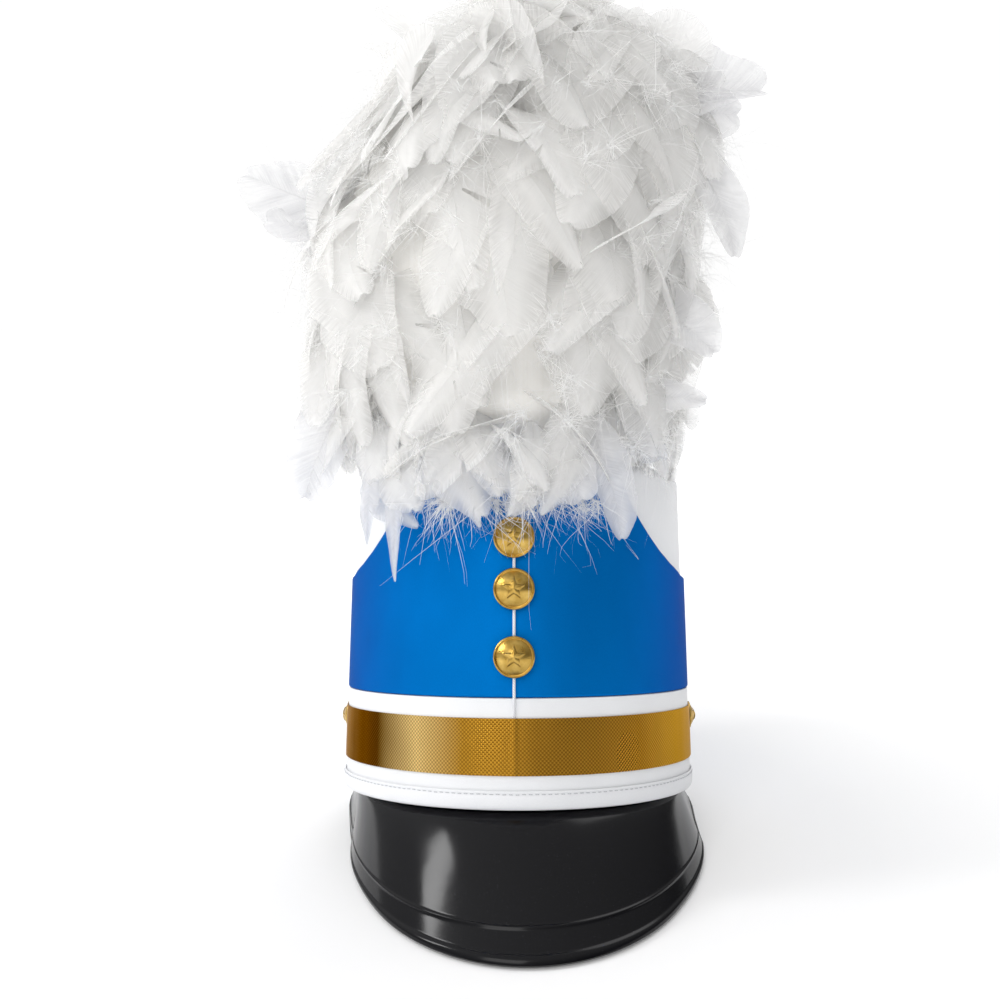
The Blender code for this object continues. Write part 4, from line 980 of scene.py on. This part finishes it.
def vanes(name, root, middle, tip, wide, across, rows, columns, finish):
    """Feathers as curved vanes either side of a shaft.

    A feather's shaft is a square curve through root, middle and tip. From each place on it a barb
    leaves to each side, slanting forward, as long as a leaf-shaped outline allows. Neighbouring
    barbs are joined into a sheet that cups and ripples in slow waves. Here and there the sheet is
    slit, and the barbs between two slits swing a little together.
    """
    count = len(root)
    t = np.linspace(0.0, 1.0, rows)[None, :, None]
    root, middle, tip = (p[:, None] for p in (root, middle, tip))
    shaft = (1 - t) ** 2 * root + 2 * t * (1 - t) * middle + t**2 * tip
    shaft = clear_of_crown(shaft, 0.0012 + 0.0035 * chance.random((count, 1)))
    length = np.linalg.norm(np.diff(shaft, axis=1), axis=-1).sum(axis=1)
    along = unit(np.gradient(shaft, axis=1))
    across = np.broadcast_to(across[:, None], along.shape)
    side = unit(across - along * (across * along).sum(axis=-1, keepdims=True))
    normal = np.cross(side, along)
    twist = (chance.normal(0.0, 0.30, (count, 1)) * t[..., 0])[..., None]
    cos, sin = np.cos(twist), np.sin(twist)
    side, normal = side * cos + normal * sin, normal * cos - side * sin
    t = t[..., 0]
    start = 0.04 + 0.08 * chance.random((count, 1))
    grown = np.clip((t - start) / (1 - start), 0.0, 1.0)
    fullness = 0.72 + 0.22 * chance.random((count, 1))
    leaf = np.sin(math.pi * grown**fullness) ** 0.52 * (1 - 0.22 * grown)
    q = np.linspace(0.0, 1.0, columns)
    step = length[:, None, None] / rows
    all_points = []
    all_faces = []
    all_uv = []
    base = 0
    for sign in (-1.0, 1.0):
        slit = chance.random((count, rows)) < 0.014
        clump = np.cumsum(slit, axis=1) - slit
        swing = np.take_along_axis(chance.normal(0.0, 0.06, (count, rows + 1)), clump, axis=1)
        phase = chance.random((count, 1)) * 2 * math.pi
        waves = 3.0 + 5.0 * chance.random((count, 1))
        stretch = 1 + 0.05 * np.sin(waves * t * 2.3 + phase) + chance.normal(0.0, 0.010, (count, rows))
        slant = 0.42 + 0.50 * grown + swing
        barb = wide[:, None] * leaf * stretch
        curl = chance.normal(0.16, 0.20, (count, 1)) + 0.14 * np.sin(waves * t + phase)
        run = (barb * np.cos(slant) * sign)[..., None] * q
        close = (slit - np.roll(slit, 1, axis=1).astype(float))[..., None] * step * 0.42
        ahead = (barb * np.sin(slant))[..., None] * q + close * (1 - 0.6 * q) * (q > 0)
        lift = (curl * barb)[..., None] * q**2
        grid = (
            shaft[:, :, None]
            + side[:, :, None] * run[..., None]
            + along[:, :, None] * ahead[..., None]
            + normal[:, :, None] * lift[..., None]
        )
        grid = clear_of_crown(grid, 0.0008)
        quads, i, j = grid_faces(rows, columns)
        faces = copies(quads, count, rows * columns, base)
        kept = ~(slit[:, i[:, 0]] & (j[:, 0] > 0)[None]) & (leaf[:, i[:, 1]] > 0)
        offset = chance.random((count, 1, 1)) * 3.0
        uv = together(t[0][i][None] * length[:, None, None] + offset, q[j][None])
        all_points.append(grid.reshape(-1, 3))
        all_faces.append(faces[kept])
        all_uv.append(uv[kept])
        base += count * rows * columns
    sides = 3
    turns = np.arange(sides) * 2 * math.pi / sides + math.pi / 2
    thin = shaft[:, ::3]
    shape = np.linspace(1.0, 0.15, thin.shape[1])[None, :, None, None]
    thick = (0.00018 + 0.010 * wide)[:, None, None, None] * shape
    ring = (
        side[:, ::3, None] * np.cos(turns)[None, None, :, None]
        + normal[:, ::3, None] * np.sin(turns)[None, None, :, None]
    )
    tube = thin[:, :, None] + ring * thick
    quads, i, j = grid_faces(thin.shape[1], sides, False, True)
    all_points.append(tube.reshape(-1, 3))
    all_faces.append(copies(quads, count, thin.shape[1] * sides, base).reshape(-1, 4))
    all_uv.append(np.tile(together(i * 0.0001, j * 0.02), (count, 1, 1)))
    points = np.concatenate(all_points)
    return add_piece(name, points, all_faces, all_uv, finish, "plume", False, 0)


def strands(name, root, direction, length, thick, curl, finish, points_each=7):
    """Down as fine tapering ribbons: each leaves its root along a direction, droops, and curls sideways."""
    count = len(root)
    s = np.linspace(0.0, 1.0, points_each)[None, :, None]
    direction = unit(direction)
    sideways = unit(np.cross(direction, chance.normal(0.0, 1.0, (count, 3))))
    phase = chance.random((count, 1, 1)) * 2 * math.pi
    bend = curl[:, None, None] * (np.sin(phase + s * 3.6) - np.sin(phase))
    path = root[:, None] + length[:, None, None] * (direction[:, None] * s + sideways[:, None] * bend * s)
    path[..., 2] -= (length[:, None] * 0.25) * s[..., 0] ** 2
    path = clear_of_crown(path, 0.0006)
    along = unit(np.gradient(path, axis=1))
    across = unit(np.cross(along, sideways[:, None] + 0.3 * direction[:, None]))
    half = thick[:, None, None] * (1 - s**1.5 * 0.85)
    grid = np.stack((path - across * half, path + across * half), axis=2)
    quads, i, j = grid_faces(points_each, 2)
    faces = [copies(quads, count, points_each * 2).reshape(-1, 4)]
    uv = [np.tile(together(j * 0.0003, i * 0.001), (count, 1, 1))]
    return add_piece(name, grid.reshape(-1, 3), faces, uv, finish, "plume", False, 0)


def plume_core():
    """A soft lumpy body that backs the feathers: the envelope at three quarters of its reach, with waves."""
    heights = np.linspace(CROWN_HEIGHT + 0.004, 0.378, 60)
    turns = ring_turns(120)
    turn = turns[:, None]
    wave = 0.03 * np.sin(5 * turn + 60 * heights[None]) * np.sin(7 * turn - 90 * heights[None])
    share = 0.74 + wave - 0.30 * smooth_step(CROWN_HEIGHT + 0.024 - heights, 0.0, 0.024)[None]
    points = envelope(turn, heights[None], share)
    count = len(heights)
    quads, _, _ = grid_faces(len(turns), count, True, False)
    caps = [np.arange(len(turns))[None] * count + column for column in (0, count - 1)]
    flat = points.reshape(-1, 3)
    faces = [quads, *caps]
    uv = [flat[face][..., ::2] for face in faces]
    # Its cream colour is painted shade for the hollows behind the feathers.
    return add_piece("plume_core", flat, faces, uv, DOWN_CORE_PAINTED_SHADE, "plume")


def level_out(turn):
    """Level directions out of the plume, and along its side, at turns from the front."""
    return together(np.sin(turn), -np.cos(turn), 0.0), together(np.cos(turn), np.sin(turn), 0.0)


def plume_body():
    """Feathers all over: each leaves the middle, arches out and droops until its tip lies near the envelope.

    Returns roots, middles, tips, half widths and sideways directions.
    """
    count = FEATHER_COUNT
    turn = chance.uniform(-math.pi, math.pi, count)
    height = chance.uniform(0.148, 0.372, count)
    rising = smooth_step(height + chance.normal(0.0, 0.012, count), 0.335, 0.368)
    swing = chance.normal(0.0, 0.62, count)
    drop = chance.uniform(0.050, 0.095, count) * (1 - rising) - 0.060 * rising
    root_height = np.minimum(height + drop, 0.368)
    tip = envelope(turn, height, chance.uniform(0.90, 1.05, count))
    root = envelope(turn + swing, root_height, chance.uniform(0.52, 0.78, count))
    bend_height = 0.45 * height + 0.55 * root_height + chance.uniform(-0.006, 0.016, count)
    middle = envelope(turn + 0.5 * swing, np.minimum(bend_height, 0.372), chance.uniform(0.90, 1.08, count))
    wide = chance.uniform(0.0150, 0.0290, count)
    _, tangent = level_out(turn)
    across = unit(tangent + chance.normal(0.0, 0.26, (count, 3)))
    return root, middle, tip, wide, across


def plume_cap():
    """Feathers over the top: the tips lie on a shallow dome, the roots nearer the middle and lower."""
    count = CAP_COUNT
    turn = chance.uniform(-math.pi, math.pi, count)
    out, tangent = level_out(turn)
    away = 0.058 * np.sqrt(chance.random(count))
    height = 0.388 - 9.0 * away**2
    foot = envelope(turn, 0.330, 0.0)
    up = np.array((0.0, 0.0, 1.0))
    tip = foot + out * away[:, None] + up * (height - 0.330)[:, None]
    root = foot + out * (0.25 * away)[:, None] + up * chance.uniform(-0.020, 0.014, count)[:, None]
    middle = foot + out * (0.55 * away)[:, None] + up * (height - 0.330 + 0.004)[:, None]
    wide = chance.uniform(0.014, 0.024, count)
    across = unit(tangent + chance.normal(0.0, 0.4, (count, 3)))
    return root, middle, tip, wide, across


def plume_skirt():
    """Feathers hanging over the crown's edge: low in front, higher at the sides."""
    count = SKIRT_COUNT
    turn = chance.uniform(-2.1, 2.1, count)
    front = 1 - smooth_step(np.abs(turn), 0.62, 0.85)
    height = 0.158 - 0.026 * front + chance.normal(0.0, 0.0045, count)
    tip = envelope(turn, height, chance.uniform(0.72, 0.96, count))
    swing = chance.normal(0.0, 0.42, count)
    rise = chance.uniform(0.030, 0.056, count)
    root = envelope(turn + swing, height + rise, chance.uniform(0.45, 0.66, count))
    middle = envelope(turn + 0.5 * swing, height + 0.7 * rise, chance.uniform(0.88, 1.02, count))
    wide = chance.uniform(0.010, 0.020, count)
    _, tangent = level_out(turn)
    across = unit(tangent + chance.normal(0.0, 0.22, (count, 3)))
    return root, middle, tip, wide, across


def plume():
    """Core, feathers and down, with the feathers that stand out taken from their table."""
    plume_core()
    groups = [np.concatenate(parts) for parts in zip(plume_body(), plume_cap(), plume_skirt())]
    count = len(groups[0])
    for number, part in enumerate(np.array_split(np.arange(count), 3), start=1):
        arrays = [group[part] for group in groups]
        vanes(f"plume_feathers_{number}", *arrays, FEATHER_ROWS, FEATHER_COLUMNS, FEATHER)
    column = {key: np.array([row[key] for row in FEATHERS], float) for key in FEATHERS[0]}
    root, tip = column["root"], column["tip"]
    across = unit(np.cross(tip - root, column["face"]))
    middle = (root + tip) / 2 + column["bow"]
    vanes("plume_long_feathers", root, middle, tip, column["wide"], across, 56, 6, LONG_FEATHER_PAINTED_SHADE)
    plume_down()


def tufts(root, lean, each, spread):
    """Strands in tufts: the root and lean of each tuft, repeated, with the leans fanned out by a spread."""
    root = np.repeat(root, each, axis=0) + chance.normal(0.0, 0.0010, (len(root) * each, 3))
    lean = np.repeat(lean, each, axis=0)
    return root, lean + chance.normal(0.0, spread, lean.shape)


def plume_down():
    """Tufts of down between the feathers, and a fringe of them over the panel's upper edge."""
    count = 520
    turn = chance.uniform(-math.pi, math.pi, count)
    height = chance.uniform(0.158, 0.368, count)
    out, _ = level_out(turn)
    lean = out + chance.normal(0.0, 0.5, (count, 3)) - np.array((0.0, 0.0, 0.5))
    root, direction = tufts(envelope(turn, height, chance.uniform(0.78, 0.98, count)), lean, 26, 0.60)
    each = len(root)
    length = chance.uniform(0.008, 0.022, each)
    thick = chance.uniform(0.00007, 0.00015, each)
    strands("plume_down", root, direction, length, thick, chance.normal(0.0, 0.70, each), DOWN)
    count = 44
    left = chance.random(count) < 0.42
    side = np.where(left, chance.normal(-0.034, 0.013, count), chance.normal(0.016, 0.017, count))
    height = chance.uniform(0.134, 0.154, count)
    root = on_crown(side / 0.096, chance.uniform(0.006, 0.020, count), height)
    lean_x = chance.normal(0.0, 0.65, count) + 9.0 * side
    lean_y = chance.normal(-0.30, 0.25, count)
    lean = together(lean_x, lean_y, chance.normal(-0.9, 0.30, count))
    root, direction = tufts(root, lean, 40, 0.60)
    each = len(root)
    length = 0.004 + 0.015 * chance.random(each) ** 1.8
    thick = chance.uniform(0.00012, 0.00026, each)
    strands("plume_fringe", root, direction, length, thick, chance.normal(0.0, 0.75, each), DOWN, 8)


# Room, light and camera


def floor():
    """A wide pale floor whose tone drifts a little; further off it glows, to run into the white room."""
    made, tree, shader, _ = new_finish("floor")
    place = node(tree, "TexCoord", {}).outputs["Object"]
    slow = noise(tree, place, 1.5, 2.0)
    colour = ramp(tree, slow, ((0.3, (0.93, 0.93, 0.935)), (0.7, (0.955, 0.955, 0.96))))
    fill(shader, {"Base Color": colour, "Roughness": 0.6, "Specular IOR Level": 0.1})
    away = node(tree, "VectorMath", {0: place}, operation="LENGTH").outputs["Value"]
    half_away = maths(tree, "MULTIPLY", away, 0.5)
    glow = ramp(tree, half_away, ((0.09, (0.08, 0.08, 0.08)), (0.40, (0.62, 0.62, 0.62))))
    fill(shader, {"Emission Color": glow, "Emission Strength": 1.0})
    mesh = bpy.data.meshes.new("floor")
    corners = [(x * FLOOR_HALF, y * FLOOR_HALF, 0) for x, y in ((-1, -1), (1, -1), (1, 1), (-1, 1))]
    mesh.from_pydata(corners, [], [(0, 1, 2, 3)])
    mesh.materials.append(made)
    piece = bpy.data.objects.new("floor", mesh)
    bpy.context.scene.collection.objects.link(piece)


def standing(right, forward, eye):
    """A camera or light's matrix: it stands at eye and looks along its own -Z, forward."""
    matrix = np.eye(4)
    matrix[:3] = together(right, np.cross(right, forward), -forward, eye)
    return Matrix(matrix.tolist())


def area_light(name, eye, target, width, height, power, colour=(1.0, 1.0, 1.0)):
    """A rectangular lamp at eye that faces target."""
    data = bpy.data.lights.new(name, "AREA")
    data.shape = "RECTANGLE"
    data.size = width
    data.size_y = height
    data.energy = power
    data.color = colour
    lamp = bpy.data.objects.new(name, data)
    bpy.context.scene.collection.objects.link(lamp)
    forward = unit(np.subtract(target, eye))
    lamp.matrix_world = standing(unit(np.cross(forward, (0.0, 0.0, 1.0))), forward, eye)


def studio():
    """A soft key from the front left, a tall strip beside it, and a white room, dimmer on the right."""
    scene = bpy.context.scene
    world = bpy.data.worlds.new("studio")
    scene.world = world
    world.use_nodes = True
    tree = world.node_tree
    shown = tree.nodes["Background"]
    rays = node(tree, "LightPath", {}).outputs["Is Camera Ray"]
    parts = node(tree, "SeparateXYZ", {0: node(tree, "TexCoord", {}).outputs["Generated"]})
    walls = node(tree, "MapRange", {"Value": parts.outputs[0], 1: -0.6, 2: 0.6, 3: 0.46, 4: 0.08})
    ceiling = node(tree, "MapRange", {"Value": parts.outputs[2], 1: 0.1, 2: 0.8, 3: 0.0, 4: 0.56})
    room = maths(tree, "ADD", walls.outputs[0], ceiling.outputs[0])
    seen = node(tree, "Mix", {0: rays, 2: room, 3: 1.02}).outputs[0]
    fill(shown, {"Color": (1.0, 1.0, 1.0, 1.0), "Strength": seen})
    area_light("key", (-0.50, -1.65, 1.30), (0.0, 0.0, 0.30), 1.1, 1.2, 10.5, (1.0, 0.995, 0.98))
    area_light("strip", (-0.93, -0.16, 0.82), (-0.03, -0.1, 0.03), 0.20, 0.44, 3.6)
    area_light("back", (0.7, 1.1, 1.8), (0.0, 0.0, 0.25), 1.6, 1.0, 9.0)
    scene.view_settings.view_transform = "Standard"


def camera():
    """Where the photograph was taken from, in the hat's frame: distance, side, height and pitch."""
    side = math.radians(CAMERA_SIDE_DEG)
    heading = math.radians(CAMERA_HEADING_DEG)
    pitch = math.radians(CAMERA_PITCH_DEG)
    eye = placed((CAMERA_AWAY * math.sin(side), -CAMERA_AWAY * math.cos(side), CAMERA_HEIGHT))
    level = np.array((-math.sin(heading), math.cos(heading), 0.0))
    forward = level * math.cos(pitch) + np.array((0.0, 0.0, math.sin(pitch)))
    right = np.array((math.cos(heading), math.sin(heading), 0.0))
    data = bpy.data.cameras.new("camera")
    data.sensor_width = 36.0
    data.lens = CAMERA_LENS
    data.clip_start = 0.01
    seen = bpy.data.objects.new("camera", data)
    bpy.context.scene.collection.objects.link(seen)
    seen.matrix_world = standing(right @ AXES, forward @ AXES, eye)
    bpy.context.scene.camera = seen


crown_wall()
crown_top()
base_band()
rim_binding()
stitches()
gold_band()
front_panel()
visor()
buttons()
button_cord()
plume()
floor()
studio()
camera()
